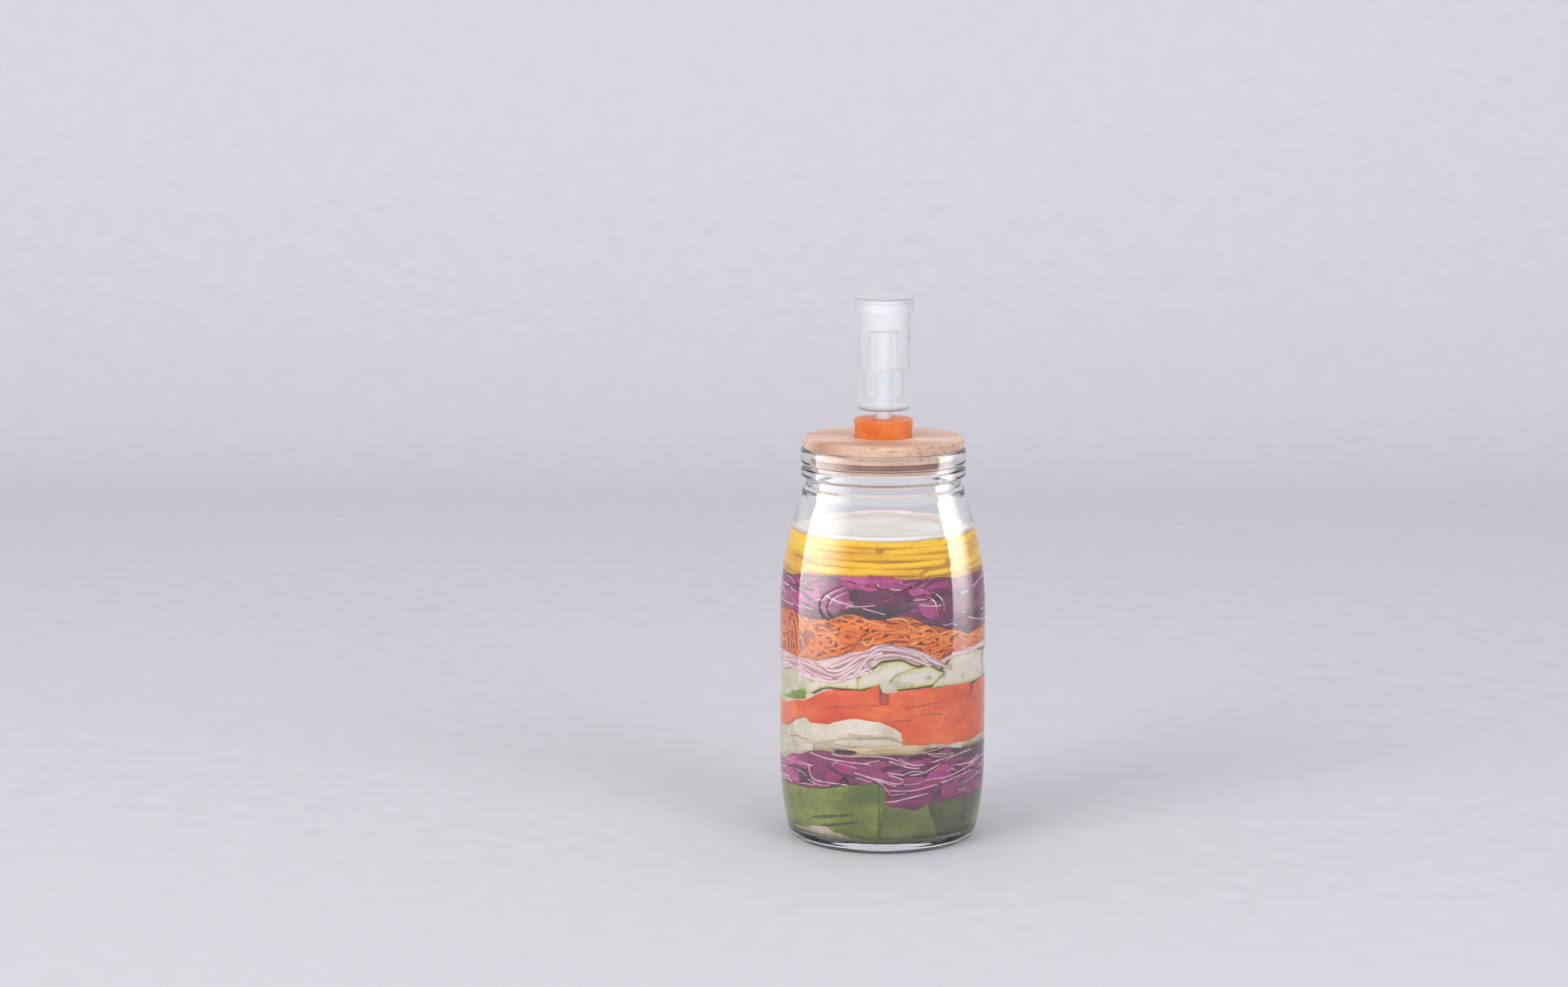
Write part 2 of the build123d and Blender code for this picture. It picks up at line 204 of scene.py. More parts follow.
jarShape = {
    "bodyRadius": cadBounds[1].x / mm,
    "height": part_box("glass_jar")[1].z / mm,
    "heelHeight": 58,
    "heelSweep": 240,
    "heelRound": 10,
    "shoulderLength": 80,
    "footWidth": 14,
    "pushUp": 2.5,
    "wall": 3.6,
    "floor": 8,
    "innerHeelRound": 8,
    "mouthRadius": 49.5,
    "boreRise": 4.6,
    "beadWall": 6.4,
    "grooveWall": 4.7,
    "recessWall": 3.3,
    "collarWall": 5.3,
    "shoulderEndWall": 6.1,
    "neckRound": 0.6,
    "rimRound": 1.6,
    "neckSteps": (9.4, 1.2, 2.0, 1.2, 4.6, 1.8, 5.0, 1.8, 5.0),  # from the rim down to the shoulder's top
}
shoulderTop = jarShape["height"] - sum(jarShape["neckSteps"])
shoulderStart = shoulderTop - jarShape["shoulderLength"]


def arcRadius(drop, rise):
    return (drop**2 + rise**2) / (2 * drop)


outerArc = arcRadius(
    jarShape["bodyRadius"] - jarShape["mouthRadius"] - jarShape["shoulderEndWall"],
    jarShape["shoulderLength"])
innerArc = arcRadius(
    jarShape["bodyRadius"] - jarShape["wall"] - jarShape["mouthRadius"],
    jarShape["shoulderLength"] + jarShape["boreRise"])


def heelRadius(inset, z):
    sweep = jarShape["heelSweep"]
    return jarShape["bodyRadius"] - sweep + sqrt((sweep - inset) ** 2 - (jarShape["heelHeight"] - z) ** 2)


def shoulderRadius(inset, arc, z):
    return jarShape["bodyRadius"] - inset - arc + sqrt(arc**2 - (z - shoulderStart) ** 2)


def outerRadius(z):
    if z < jarShape["heelHeight"]:
        return heelRadius(0, z)
    return jarShape["bodyRadius"] if z < shoulderStart else shoulderRadius(0, outerArc, z)


def innerRadius(z):
    turn, wall = jarShape["innerHeelRound"], jarShape["wall"]
    cornerTop = jarShape["floor"] + turn
    if z < cornerTop:
        return heelRadius(wall, cornerTop) - turn + sqrt(max(turn**2 - (cornerTop - z) ** 2, 0))
    if z < jarShape["heelHeight"]:
        return heelRadius(wall, z)
    if z < shoulderStart:
        return jarShape["bodyRadius"] - wall
    if z < shoulderTop + jarShape["boreRise"]:
        return shoulderRadius(wall, innerArc, z)
    return jarShape["mouthRadius"]


def around(reach, angle, z):
    # a place this far from the axis; 0 degrees is the front, more turns to the right
    return Vector((reach * sin(radians(angle)), -reach * cos(radians(angle)), z)) * mm


def wallPoint(angle, z, depth):
    # a place this deep inside the glass's inner face
    return around(innerRadius(z) - depth, angle, z)


def levels(low, high, count):
    return [low + (high - low) * step / count for step in range(count + 1)]


def wallLine(radiusAt, start, end, count):
    return [(radiusAt(z), z) for z in levels(start, end, count)]


# camera, floor and light

viewing = {
    "distance": 2.6,
    "height": 0.64,
    "lens": 88.9,
    "sensor": 36,
    "image": (2046, 1288),
    "jarAt": (1154, 741),  # where the middle of the jar with its airlock falls in the image
}


def setCamera():
    perMm = viewing["image"][0] / viewing["sensor"]
    places = zip(viewing["jarAt"], viewing["image"])
    across, down = (atan((place - side / 2) / (viewing["lens"] * perMm)) for place, side in places)
    middle = (cadBounds[0].z + cadBounds[1].z) / 2
    dip = atan((viewing["height"] - middle) / viewing["distance"])
    bpy.ops.object.camera_add(
        location=(0, -viewing["distance"], viewing["height"]), rotation=(pi / 2 - dip + down, 0, across))
    camera = bpy.context.object
    camera.name = "photoCamera"
    camera.data.lens = viewing["lens"]
    camera.data.sensor_width = viewing["sensor"]
    camera.data.clip_end = 50
    scene.camera = camera


studio = {
    "floorColour": colour(208, 206, 211),
    "floorSpeckle": 0.97,
    "worldColour": colour(232, 232, 238),
    "worldStrength": 0.66,
    "worldSeen": 0.92,
    "sweep": (7, 7.2, 3.2),  # width, depth and height of the floor with its backdrop (m)
    "backdropAt": 2.4,
    "aim": (0, 0, 0.17),  # the place that the lamps point at
    # name: place (m), size (m), power (W), colour
    "lamps": {
        "windowLeft": ((-2.9, -2.9, 1.7), 2.4, 120, (1.0, 0.985, 0.96)),
        "fillRight": ((2.7, -3.1, 1.6), 2.4, 90, (0.97, 0.98, 1.0)),
        "overhead": ((0.1, 0.2, 3.4), 2.4, 20, (1.0, 1.0, 1.0)),
        "backFill": ((0.5, 2.2, 1.7), 1.6, 26, (1.0, 1.0, 1.0)),
    },
    # name: from and to azimuth (degrees), distance, bottom and top (m), strength, soft share of each side
    "cards": {
        "cardLeft": (-104, -34, 0.50, 0.02, 0.62, 10, (0.03, 0.6)),
        "cardRight": (79, 122, 0.50, 0.04, 0.62, 13, (0.04, 0.75)),
    },
    "cardRise": [(0, 0.12), (0.12, 0.5), (0.4, 1.0), (0.52, 1.0), (0.75, 0.55)],  # share of the height, glow
}


def makeFloor():
    width, depth, height = studio["sweep"]
    clearSelection()
    bpy.ops.mesh.primitive_plane_add(size=1, location=(0, studio["backdropAt"] - depth / 2, 0))
    floor = bpy.context.object
    floor.scale = (width, depth, 1)
    bpy.ops.object.transform_apply(location=True, rotation=True, scale=True)
    bpy.ops.object.mode_set(mode="EDIT")
    bpy.ops.mesh.select_all(action="DESELECT")
    bpy.ops.object.mode_set(mode="OBJECT")
    for edge in floor.data.edges:
        edge.select = all(floor.data.vertices[v].co.y > studio["backdropAt"] - 0.01 for v in edge.vertices)
    bpy.ops.object.mode_set(mode="EDIT")
    bpy.ops.mesh.select_mode(type="EDGE")
    bpy.ops.mesh.extrude_edges_move(TRANSFORM_OT_translate={"value": (0, 0, height)})
    bpy.ops.mesh.select_mode(type="VERT")
    bpy.ops.object.mode_set(mode="OBJECT")
    bend = floor.modifiers.new("bend", "BEVEL")
    bend.width = 0.9
    bend.segments = 16
    bpy.ops.object.modifier_apply(modifier=bend.name)
    bpy.ops.object.shade_smooth()
    floor.name = "paleFloor"
    material, shader, out = newMaterial("palePaint")
    tone = studio["floorColour"]
    dim = tuple(value * studio["floorSpeckle"] for value in tone[:3]) + (1,)
    paint = ramp(material, noiseAt(material, 40, detail=2), [(0.3, dim), (0.7, tone)])
    setInputs(shader, Base_Color=paint, Roughness=0.8, Specular_IOR_Level=0.0)
    # a view from behind the backdrop looks through its back
    side = addNode(material, "ShaderNodeNewGeometry")
    clear = addNode(material, "ShaderNodeBsdfTransparent")
    seen = mixShaders(material, side.outputs["Backfacing"], shader.outputs["BSDF"], clear.outputs["BSDF"])
    setInputs(out, Surface=seen)
    floor.data.materials.append(material)


def makeLamps():
    world = bpy.data.worlds.new("studioAir")
    world.use_nodes = True
    # the air looks as pale as the backdrop, also through glass; what lights the object stays plain
    rays = addNode(world, "ShaderNodeLightPath").outputs
    seen = maths(world, "MAXIMUM", rays["Is Camera Ray"], rays["Is Transmission Ray"])
    strength = addNode(world, "ShaderNodeMapRange", {
        "Value": seen, "To Min": studio["worldStrength"], "To Max": studio["worldSeen"]}).outputs["Result"]
    setInputs(world.node_tree.nodes["Background"], Color=studio["worldColour"], Strength=strength)
    scene.world = world
    for name, (place, size, power, tint) in studio["lamps"].items():
        bpy.ops.object.light_add(type="AREA", location=place)
        lamp = bpy.context.object
        lamp.name = name
        lamp.data.shape = "SQUARE"
        lamp.data.size = size
        lamp.data.energy = power
        lamp.data.color = tint
        lamp.rotation_euler = (Vector(studio["aim"]) - Vector(place)).to_track_quat("-Z", "Y").to_euler()
        lamp.visible_glossy = lamp.visible_transmission = False


def cardGlow(name, strength, soft):
    # a board that fades out to its sides, to its foot and a little to its top
    material, shader, out = newMaterial(name)
    material.node_tree.nodes.remove(shader)
    layer = addNode(material, "ShaderNodeUVMap").outputs["UV"]
    along = addNode(material, "ShaderNodeSeparateXYZ", {"Vector": layer}).outputs
    fade = ramp(material, along["X"], [(0, 0.0), (soft[0], 1.0), (1 - soft[1], 1.0), (1, 0.0)], "EASE")
    both = maths(material, "MULTIPLY", fade, ramp(material, along["Y"], studio["cardRise"]))
    glow = addNode(material, "ShaderNodeEmission", {"Strength": strength})
    clear = addNode(material, "ShaderNodeBsdfTransparent")
    setInputs(out, Surface=mixShaders(material, both, clear.outputs["BSDF"], glow.outputs["Emission"]))
    return material


def makeCards():
    # curved white boards that only show as bands of light in the glass
    for name, (start, end, distance, low, high, strength, soft) in studio["cards"].items():
        clearSelection()
        bpy.ops.mesh.primitive_grid_add(x_subdivisions=24, y_subdivisions=4, size=1)
        card = bpy.context.object
        card.name = name
        for corner in card.data.vertices:
            azimuth = radians(start + (end - start) * (corner.co.x + 0.5))
            height = low + (high - low) * (corner.co.y + 0.5)
            corner.co = (distance * sin(azimuth), -distance * cos(azimuth), height)
        card.data.materials.append(cardGlow(name + "Glow", strength, soft))
        card.visible_camera = card.visible_diffuse = card.visible_transmission = card.visible_shadow = False
        card.visible_volume_scatter = False


setCamera()
makeFloor()
makeLamps()
makeCards()
scene.view_settings.view_transform = "Standard"
scene.cycles.max_bounces = scene.cycles.transmission_bounces = 24
scene.cycles.transparent_max_bounces = 16
scene.cycles.caustics_reflective = False
scene.cycles.caustics_refractive = True
print("camera, floor and light set")


# see-through materials

def hazeAbove(material, amount, start, run):
    # the haze begins at a height and is full after a short run (mm)
    place = addNode(material, "ShaderNodeTexCoord").outputs["Object"]
    height = addNode(material, "ShaderNodeSeparateXYZ", {"Vector": place}).outputs["Z"]
    rise = addNode(material, "ShaderNodeMapRange", {
        "Value": height, "From Min": start * mm, "From Max": (start + run) * mm}).outputs["Result"]
    return mixColours(material, rise, (0, 0, 0, 1), amount, "MIX")


def clearMaterial(
        name, tint, index, roughness=0.0, wave=0.0, shine=0.5, haze=0.0, hazeTint=(0.93, 0.95, 0.97, 1),
        hazeFrom=None, hazeRun=2):
    # light reaches what lies behind it straight through, so that the contents aren't left dark
    material, shader, out = newMaterial(name)
    setInputs(shader, Base_Color=tint, Roughness=roughness, IOR=index, Specular_IOR_Level=shine)
    setInputs(shader, Transmission_Weight=1.0)
    surface = shader.outputs["BSDF"]
    if wave:
        addBump(material, shader, noiseAt(material, 14, (1, 1, 0.35), detail=1), wave, 0.002)
    if haze:
        mist = addNode(material, "ShaderNodeBsdfDiffuse", {"Color": hazeTint})
        amount = ramp(material, noiseAt(material, 30, detail=2), [(0.3, haze * 0.7), (0.7, haze)])
        if hazeFrom:
            amount = hazeAbove(material, amount, hazeFrom, hazeRun)
        surface = mixShaders(material, amount, surface, mist.outputs["BSDF"])
    rays = addNode(material, "ShaderNodeLightPath")
    through = addNode(material, "ShaderNodeBsdfTransparent", {"Color": (0.99, 0.99, 0.99, 1)})
    final = mixShaders(material, rays.outputs["Is Shadow Ray"], surface, through.outputs["BSDF"])
    setInputs(out, Surface=final)
    return material


glassLook = clearMaterial("clearGlass", (0.985, 0.995, 0.99, 1), 1.5, wave=0.04)
brineLook = clearMaterial(
    "brineWater", (0.99, 0.985, 0.96, 1), 1.33, haze=0.62, hazeFrom=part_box("brine")[1].z / mm - 2.2)
waterLook = clearMaterial(
    "airlockWater", (0.98, 0.995, 1.0, 1), 1.33, haze=0.9, hazeTint=(0.86, 0.68, 0.60, 1),
    hazeFrom=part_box("airlock_water")[1].z / mm + 0.05, hazeRun=0.3)
plasticLook = clearMaterial("clearPlastic", (0.97, 0.98, 0.985, 1), 1.46, 0.2, haze=0.24, shine=0.25)
floatLook = clearMaterial("floatPlastic", (0.98, 0.985, 0.99, 1), 1.3, 0.1, haze=0.05, shine=0.25)


# glass jar

def jarOutside():
    mouth = jarShape["mouthRadius"]
    z = [jarShape["height"]]
    for step in jarShape["neckSteps"]:
        z.append(z[-1] - step)
    bead, groove = mouth + jarShape["beadWall"], mouth + jarShape["grooveWall"]
    recess, collar = mouth + jarShape["recessWall"], mouth + jarShape["collarWall"]
    turn, rim = jarShape["neckRound"], jarShape["rimRound"]
    footRadius, heelTop = heelRadius(0, 0), jarShape["heelHeight"]
    footInner = footRadius - jarShape["footWidth"]
    points = [(footInner * share, jarShape["pushUp"] * (1 - share**2)) for share in levels(0, 1, 12)]
    heel = wallLine(lambda level: heelRadius(0, level), jarShape["heelRound"], heelTop, 12)
    points += rounded([points[-1], (footRadius, 0, jarShape["heelRound"] * 0.8), heel[0]], 8)[1:] + heel[1:]
    points += wallLine(lambda level: jarShape["bodyRadius"], heelTop, shoulderStart, 8)[1:]
    points += wallLine(outerRadius, shoulderStart, z[9], 20)[1:]
    neck = [
        points[-1], (collar, z[8], turn), (recess, z[7], turn), (recess, z[6], turn), (bead, z[5], turn),
        (bead, z[4], turn), (groove, z[3], turn), (groove, z[2], turn), (bead, z[1], turn),
        (bead, z[0], rim), (mouth, z[0], rim), (mouth, z[5])]
    return points + rounded(neck, 4)[1:]


def jarInside():
    # from the mouth down to the floor's middle
    turn = jarShape["innerHeelRound"]
    cornerTop = jarShape["floor"] + turn
    points = wallLine(innerRadius, shoulderTop + jarShape["boreRise"], shoulderStart, 24)
    points += wallLine(innerRadius, shoulderStart, jarShape["heelHeight"], 8)[1:]
    points += wallLine(innerRadius, jarShape["heelHeight"], cornerTop, 8)[1:]
    middle = innerRadius(cornerTop) - turn
    points += [(middle + turn * cos(bend), cornerTop - turn * sin(bend)) for bend in levels(0, pi / 2, 8)[1:]]
    return points + [(middle * share, jarShape["floor"]) for share in levels(1, 0, 6)[1:]]


pressedOval = {
    "middle": 169,
    "halfWidth": 45,
    "halfHeight": 18,
    "lineWidth": 2.0,
    "innerLine": 0.86,  # a second line inside the first, as a share of its size
    "depth": 0.65,
    "margin": 8,  # round the oval, where the points are set on the true curve
    "cuts": 5,  # in each face of the whole glass, which makes it by far the densest piece
}


def ovalPlace(here):
    # mm round the outside of the glass and up from the oval's middle, and whether it is on the outside
    outside = hypot(here.x, here.y) > innerRadius(here.z) + 2
    return outerRadius(here.z) * atan2(here.x, -here.y), here.z - pressedOval["middle"], outside


def pressOval(jar):
    # the whole glass is cut into finer faces, and a blank oval frame is pressed into its front
    oval = pressedOval
    wide, tall = oval["halfWidth"] + oval["margin"], oval["halfHeight"] + oval["margin"]
    bpy.ops.object.mode_set(mode="EDIT")
    bpy.ops.mesh.select_all(action="SELECT")
    bpy.ops.mesh.subdivide(number_cuts=oval["cuts"])
    bpy.ops.object.mode_set(mode="OBJECT")
    for corner in jar.data.vertices:
        here = corner.co / mm
        across, up, outside = ovalPlace(here)
        if not outside or abs(across) > wide or abs(up) > tall:
            continue
        push = 0
        for size in (1, oval["innerLine"]):
            halfWidth, halfHeight = oval["halfWidth"] * size, oval["halfHeight"] * size
            share = hypot(across / halfWidth, up / halfHeight)
            slope = hypot(across / halfWidth**2, up / halfHeight**2) / max(share, 0.01)
            gap = abs(share - 1) / max(slope, 0.001)
            push = max(push, max(0, 1 - (2 * gap / oval["lineWidth"]) ** 2) ** 2)
        level, radius = outerRadius(here.z) - oval["depth"] * push, hypot(here.x, here.y)
        corner.co = Vector((here.x * level / radius, here.y * level / radius, here.z)) * mm


glassJar = turned("glassJar", jarOutside() + jarInside(), glassLook, 160)
pressOval(glassJar)
dress(glassJar, "glass_jar", "jar")
lightOnly("glassOnly", studio["cards"], [glassJar])
print("glass jar turned")


# brine

brineShape = {
    "level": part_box("brine")[1].z / mm,
    "overlap": 0.15,  # into the glass, so that no air shows between
    "meniscus": 0.9,
    "meniscusReach": 2.4,
}


def makeBrine():
    over, top, reach = brineShape["overlap"], brineShape["level"], brineShape["meniscusReach"]
    floor, edge = jarShape["floor"] - over, innerRadius(top) + over
    wall = [(radius + over, z) for radius, z in jarInside()[::-1] if jarShape["floor"] + 0.5 < z < top - 2]
    points = [(0, floor), (wall[0][0] * 0.5, floor), (wall[0][0] - over, floor)] + wall
    for inward in levels(0, reach, 5):
        points.append((edge - inward, top + brineShape["meniscus"] * (1 - inward / reach) ** 2))
    points += [(edge * share, top) for share in (0.6, 0.3, 0)]
    dress(turned("brineBody", points, brineLook, 160), "brine", "jar")


makeBrine()
print("brine filled in")


# lid, seal, bung and airlock: the model's own solids with their finishes

def beech():
    material, shader, _ = newMaterial("beechWood")
    grain = noiseAt(material, 42, (0.12, 1, 1), detail=5, roughness=0.6)
    rings = noiseAt(material, 16, (0.1, 1, 0.6), detail=2)
    flecks = noiseAt(material, 520, (0.16, 1, 1), detail=1)
    wood = ramp(material, grain, [
        (0.30, (202, 166, 144)), (0.48, (220, 190, 170)), (0.62, (228, 202, 184)), (0.75, (211, 178, 156))])
    bands = ramp(material, rings, [(0.35, (228, 214, 206)), (0.55, 1), (0.68, (236, 222, 212))])
    dots = ramp(material, flecks, [(0.56, 1), (0.66, (226, 206, 190))])
    tinted = mixColours(material, 1.0, wood, bands)
    setInputs(shader, Base_Color=mixColours(material, 0.8, tinted, dots), Roughness=0.46)
    addBump(material, shader, grain, 0.12, 0.0006)
    return material


def silicone(name, scale, detail, stops, **finish):
    material, shader, _ = newMaterial(name)
    setInputs(shader, Base_Color=ramp(material, noiseAt(material, scale, detail=detail), stops), **finish)
    return material, shader


def orangeSilicone():
    material, shader = silicone(
        "orangeSilicone", 60, 3, [(0.35, (206, 102, 44)), (0.65, (222, 126, 68))], Roughness=0.36,
        Subsurface_Weight=0.35, Subsurface_Radius=(1.0, 0.4, 0.15), Subsurface_Scale=0.004)
    addBump(material, shader, noiseAt(material, 900, detail=1), 0.08, 0.0002)
    return material


def sealSiliconeInShade():
    # painted shade: the seal is given a dark brown-grey for the shade it sits in under the lid; the silicone
    # itself is pale
    stops = [(0.3, (128, 92, 84)), (0.7, (150, 110, 100))]
    return silicone("sealSiliconeInShade", 80, 2, stops, Roughness=0.4, Transmission_Weight=0.25)[0]


def glazedStone():
    material, shader, _ = newMaterial("glazedStone")
    cloud = noiseAt(material, 25, detail=4)
    glaze = ramp(material, cloud, [(0.3, (228, 226, 220)), (0.7, (242, 241, 237))])
    dots = ramp(material, noiseAt(material, 420, detail=1), [(0.70, 1), (0.76, (196, 186, 170))])
    paint = mixColours(material, 1.0, glaze, dots)
    setInputs(shader, Base_Color=paint, Roughness=0.12, Coat_Weight=0.5, Coat_Roughness=0.05)
    addBump(material, shader, cloud, 0.06, 0.001)
    return material


stoneLook = glazedStone()
for node, look in {
    "wooden_lid": beech(),
    "lid_seal": sealSiliconeInShade(),
    "bung": orangeSilicone(),
    "airlock_body": plasticLook,
    "airlock_float": floatLook,
    "airlock_cap": plasticLook,
    "lower_stone": stoneLook,
    "upper_stone": stoneLook,
}.items():
    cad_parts[node].data.materials.clear()
    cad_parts[node].data.materials.append(look)
print("lid, bung, airlock and stones finished")

airlockShape = {
    "stemRadius": 5.5,
    "innerRound": 1.4,
    "gap": 0.3,  # between the model's water and the cup
    "overlap": 0.1,
    "cling": 0.8,
}


def makeAirlockWater():
    low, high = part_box("airlock_water")
    over, cling, gap = airlockShape["overlap"], airlockShape["cling"], airlockShape["gap"]
    outer = high.x / mm + gap + over
    inner = airlockShape["stemRadius"] - over
    floor, top = low.z / mm - gap - over, high.z / mm
    corners = [
        (inner, floor), (outer, floor, airlockShape["innerRound"]), (outer, top + cling),
        (outer - 1.2, top + cling * 0.2), (outer - 2.4, top), (inner + 2.0, top),
        (inner + 0.8, top + cling * 0.2), (inner, top + cling), (inner, floor)]
    dress(turned("airlockWater", rounded(corners), waterLook, 96), "airlock_water", "airlock")


makeAirlockWater()
print("airlock filled")


# vegetables: shared ways of laying pieces against the glass

def edgeLine(points, wave=2.0, turns=3):
    # height of a layer's edge round the jar: through (degrees, mm) in front, and gently waved behind
    first, last = points[0], points[-1]

    def height(angle):
        angle = (angle + 180) % 360 - 180
        if first[0] <= angle <= last[0]:
            for (start, low), (end, high) in zip(points, points[1:]):
                if angle <= end:
                    share = (angle - start) / (end - start)
                    return low + (high - low) * share * share * (3 - 2 * share)
        behind = ((angle - last[0]) % 360) / (360 - last[0] + first[0])
        sway = wave * sin(pi * behind) * sin(turns * 2 * pi * behind)
        return last[1] + (first[1] - last[1]) * behind + sway

    return height


def asEdge(edge):
    # an edge may be given as a height, as the points of a line, or as a height for each angle
    if isinstance(edge, list):
        return edgeLine(edge)
    return edge if callable(edge) else lambda angle: edge


def shift(edge, by):
    return lambda angle: edge(angle) + by


def lean(z, rise, middle=0):
    # a straight edge that rises this much per degree
    return lambda angle: z + rise * (angle - middle)


def arch(edge, lift, fall, middle):
    # an edge with a crown, from which it falls to both sides
    return lambda angle: edge(angle) + lift - fall * (angle - middle) ** 2


layerEdges = {
    "greenPepper": edgeLine([
        (-76, 41), (-51, 42.5), (-38, 44.5), (-20, 48.5), (-4, 50.6), (0.5, 49), (3, 43), (5, 34.5), (21, 31),
        (29, 35), (60, 34.5)]),
    "lowerCabbage": edgeLine([
        (-80, 56), (-62, 63), (-38, 70), (-13, 68), (1, 70), (18, 69), (33, 74), (56, 70)]),
    "cauliflower": edgeLine([
        (-76, 80), (-51, 91.5), (-46, 88), (-34, 89), (-16, 94.5), (-1, 91.5), (8, 86), (13, 77), (48, 73)]),
    "redPepper": edgeLine([
        (-76, 97), (-56, 102), (-28, 113), (-12, 113.6), (-1, 119), (9, 114), (40, 115.5), (60, 114)]),
    "courgette": edgeLine([
        (-72, 118.5), (-57, 124), (-41, 118.5), (-28, 119.5), (-8, 127.5), (6, 135.5), (20, 130.5), (37, 127),
        (48, 136), (60, 137)]),
    "redOnion": edgeLine([(-72, 131), (-46, 130.5), (-12, 140), (-1, 146), (10, 144), (39, 133), (50, 138)]),
    "carrot": edgeLine([
        (-72, 162), (-50, 159), (-34, 159), (-20, 166), (-5, 161.5), (14, 164), (29, 157), (48, 151.5),
        (57, 147)]),
    "upperCabbage": edgeLine([
        (-72, 184.5), (-53, 188), (-12, 190.5), (0, 191), (14, 188), (40, 188), (50, 186)], wave=1),
    "yellowPepper": edgeLine([(-63, 213), (-14, 213.2), (10, 212.5), (40, 210.5)], wave=0.8),
}


def ripple(place, size, seed=0):
    return noise.noise(Vector((place[0], place[1], place[2] + seed * 50 * mm)) / (size * mm))


def pileCore(name, lower, upper, look, depth=3.0, hole=0, lumps=1.0):
    # the body of a layer behind its pieces: a turned unit drum, then fitted between its two edges
    inner = 0.02 if hole else 0
    section = [(share, 0) for share in levels(inner, 1, 5)] + [(1, share) for share in levels(0, 1, 8)[1:]]
    section += [(share, 1) for share in levels(1, inner, 5)[1:]] + [(inner, 0)] * bool(hole)
    core = turned(name, [(radius * 1000, z * 1000) for radius, z in section], look, 144)
    lowMean, highMean = (sum(edge(angle) for angle in range(0, 360, 10)) / 36 for edge in (lower, upper))
    for corner in core.data.vertices:
        share, rise = min(hypot(corner.co.x, corner.co.y), 1), corner.co.z
        angle = degrees(atan2(corner.co.x, -corner.co.y)) if share > 0.001 else 0
        low = lowMean + (lower(angle) - lowMean) * share
        high = highMean + (upper(angle) - highMean) * share
        z = low + (high - low) * rise
        reach = hole + (innerRadius(z) - depth - hole) * (share - inner) / (1 - inner)
        lump = lumps * ripple(around(reach, angle, z), 11) * (share > 0.99) * min(1, 4 * rise, 4 * (1 - rise))
        corner.co = around(reach + lump, angle, z)
    return core


def slab(
        start, end, lower, upper, depth, look, thickness=3.0, swell=1.4, edgeWidth=3.5, roundness=0.12,
        slant=0, lumps=0.35, ragged=0.0, cells=None):
    # a cut piece pressed against the glass between two angles; its edges fall back from the glass
    lower, upper = asEdge(lower), asEdge(upper)
    clearSelection()
    across = cells or max(8, int(abs(end - start) / 2))
    bpy.ops.mesh.primitive_grid_add(x_subdivisions=across, y_subdivisions=10, size=2)
    piece = bpy.context.object
    edgeMark = piece.data.attributes.new("edge", "FLOAT", "POINT")
    seed = luck.random() * 9
    for corner in piece.data.vertices:
        u, v = corner.co.x, corner.co.y
        u, v = u * sqrt(1 - roundness * v * v), v * sqrt(1 - roundness * u * u)
        bend = 1 - ragged * (1 + noise.noise(Vector((2.2 * u, 2.2 * v, seed * 7)))) * (u * u + v * v) / 2
        u, v = u * bend, v * bend
        angle = start + (end - start) * (u + 1) / 2 + slant * v
        low, high = lower(angle), upper(angle)
        z = low + (high - low) * (v + 1) / 2
        perDegree = radians(innerRadius(z))
        toEdge = min((1 - abs(v)) * (high - low) / 2, (1 - abs(u)) * abs(end - start) / 2 * perDegree)
        edgeMark.data[corner.index].value = toEdge
        fall = max(0, 1 - toEdge / edgeWidth) ** 2
        lump = lumps * (1 + ripple(wallPoint(angle, z, depth), 14, seed))
        corner.co = wallPoint(angle, z, depth + swell * fall + lump)
    skin = piece.modifiers.new("skin", "SOLIDIFY")
    skin.thickness = thickness * mm
    skin.offset = -1
    bpy.ops.object.modifier_apply(modifier=skin.name)
    bpy.ops.object.shade_smooth_by_angle(angle=radians(50))
    piece.data.materials.append(look)
    return piece


def laid(curves, lift, depth, spread):
    # drawn curves moved up by lift and laid at three depths in turn
    depths = [depth + spread * (place % 3) for place in range(len(curves))]
    return [[(angle, z + lift, deep) for angle, z in curve] for curve, deep in zip(curves, depths)]


def strands(routes, thickness, look, width=0.0, fine=4):
    # each route is a list of (degrees, mm, depth) or (degrees, mm, depth, tilt) laid as one smooth strip
    clearSelection()
    bpy.ops.curve.primitive_nurbs_path_add()
    curve = bpy.context.object.data
    curve.splines.clear()
    for route in routes:
        line = curve.splines.new("NURBS")
        line.points.add(len(route) - 1)
        for point, place in zip(line.points, route):
            point.co = (*wallPoint(*place[:3]), 1)
            point.tilt = radians(place[3]) if len(place) > 3 else 0
        line.order_u = 4
        line.use_endpoint_u = True
        line.resolution_u = fine
    curve.twist_mode = "Z_UP"
    curve.bevel_depth = thickness * mm
    curve.bevel_resolution = 1
    curve.extrude = width * mm
    curve.use_fill_caps = True
    bpy.ops.object.convert(target="MESH")
    bpy.ops.object.shade_smooth()
    bpy.context.object.data.materials.append(look)
    return bpy.context.object


def joinLayer(name, pieces, node):
    clearSelection()
    for piece in pieces:
        piece.select_set(True)
    bpy.context.view_layer.objects.active = pieces[0]
    bpy.ops.object.join()
    layer = bpy.context.object
    bpy.ops.object.transform_apply(location=True, rotation=True, scale=True)
    layer.name = layer.data.name = name
    dress(layer, node, "jar")
    print(name, "laid,", len(layer.data.polygons), "faces")


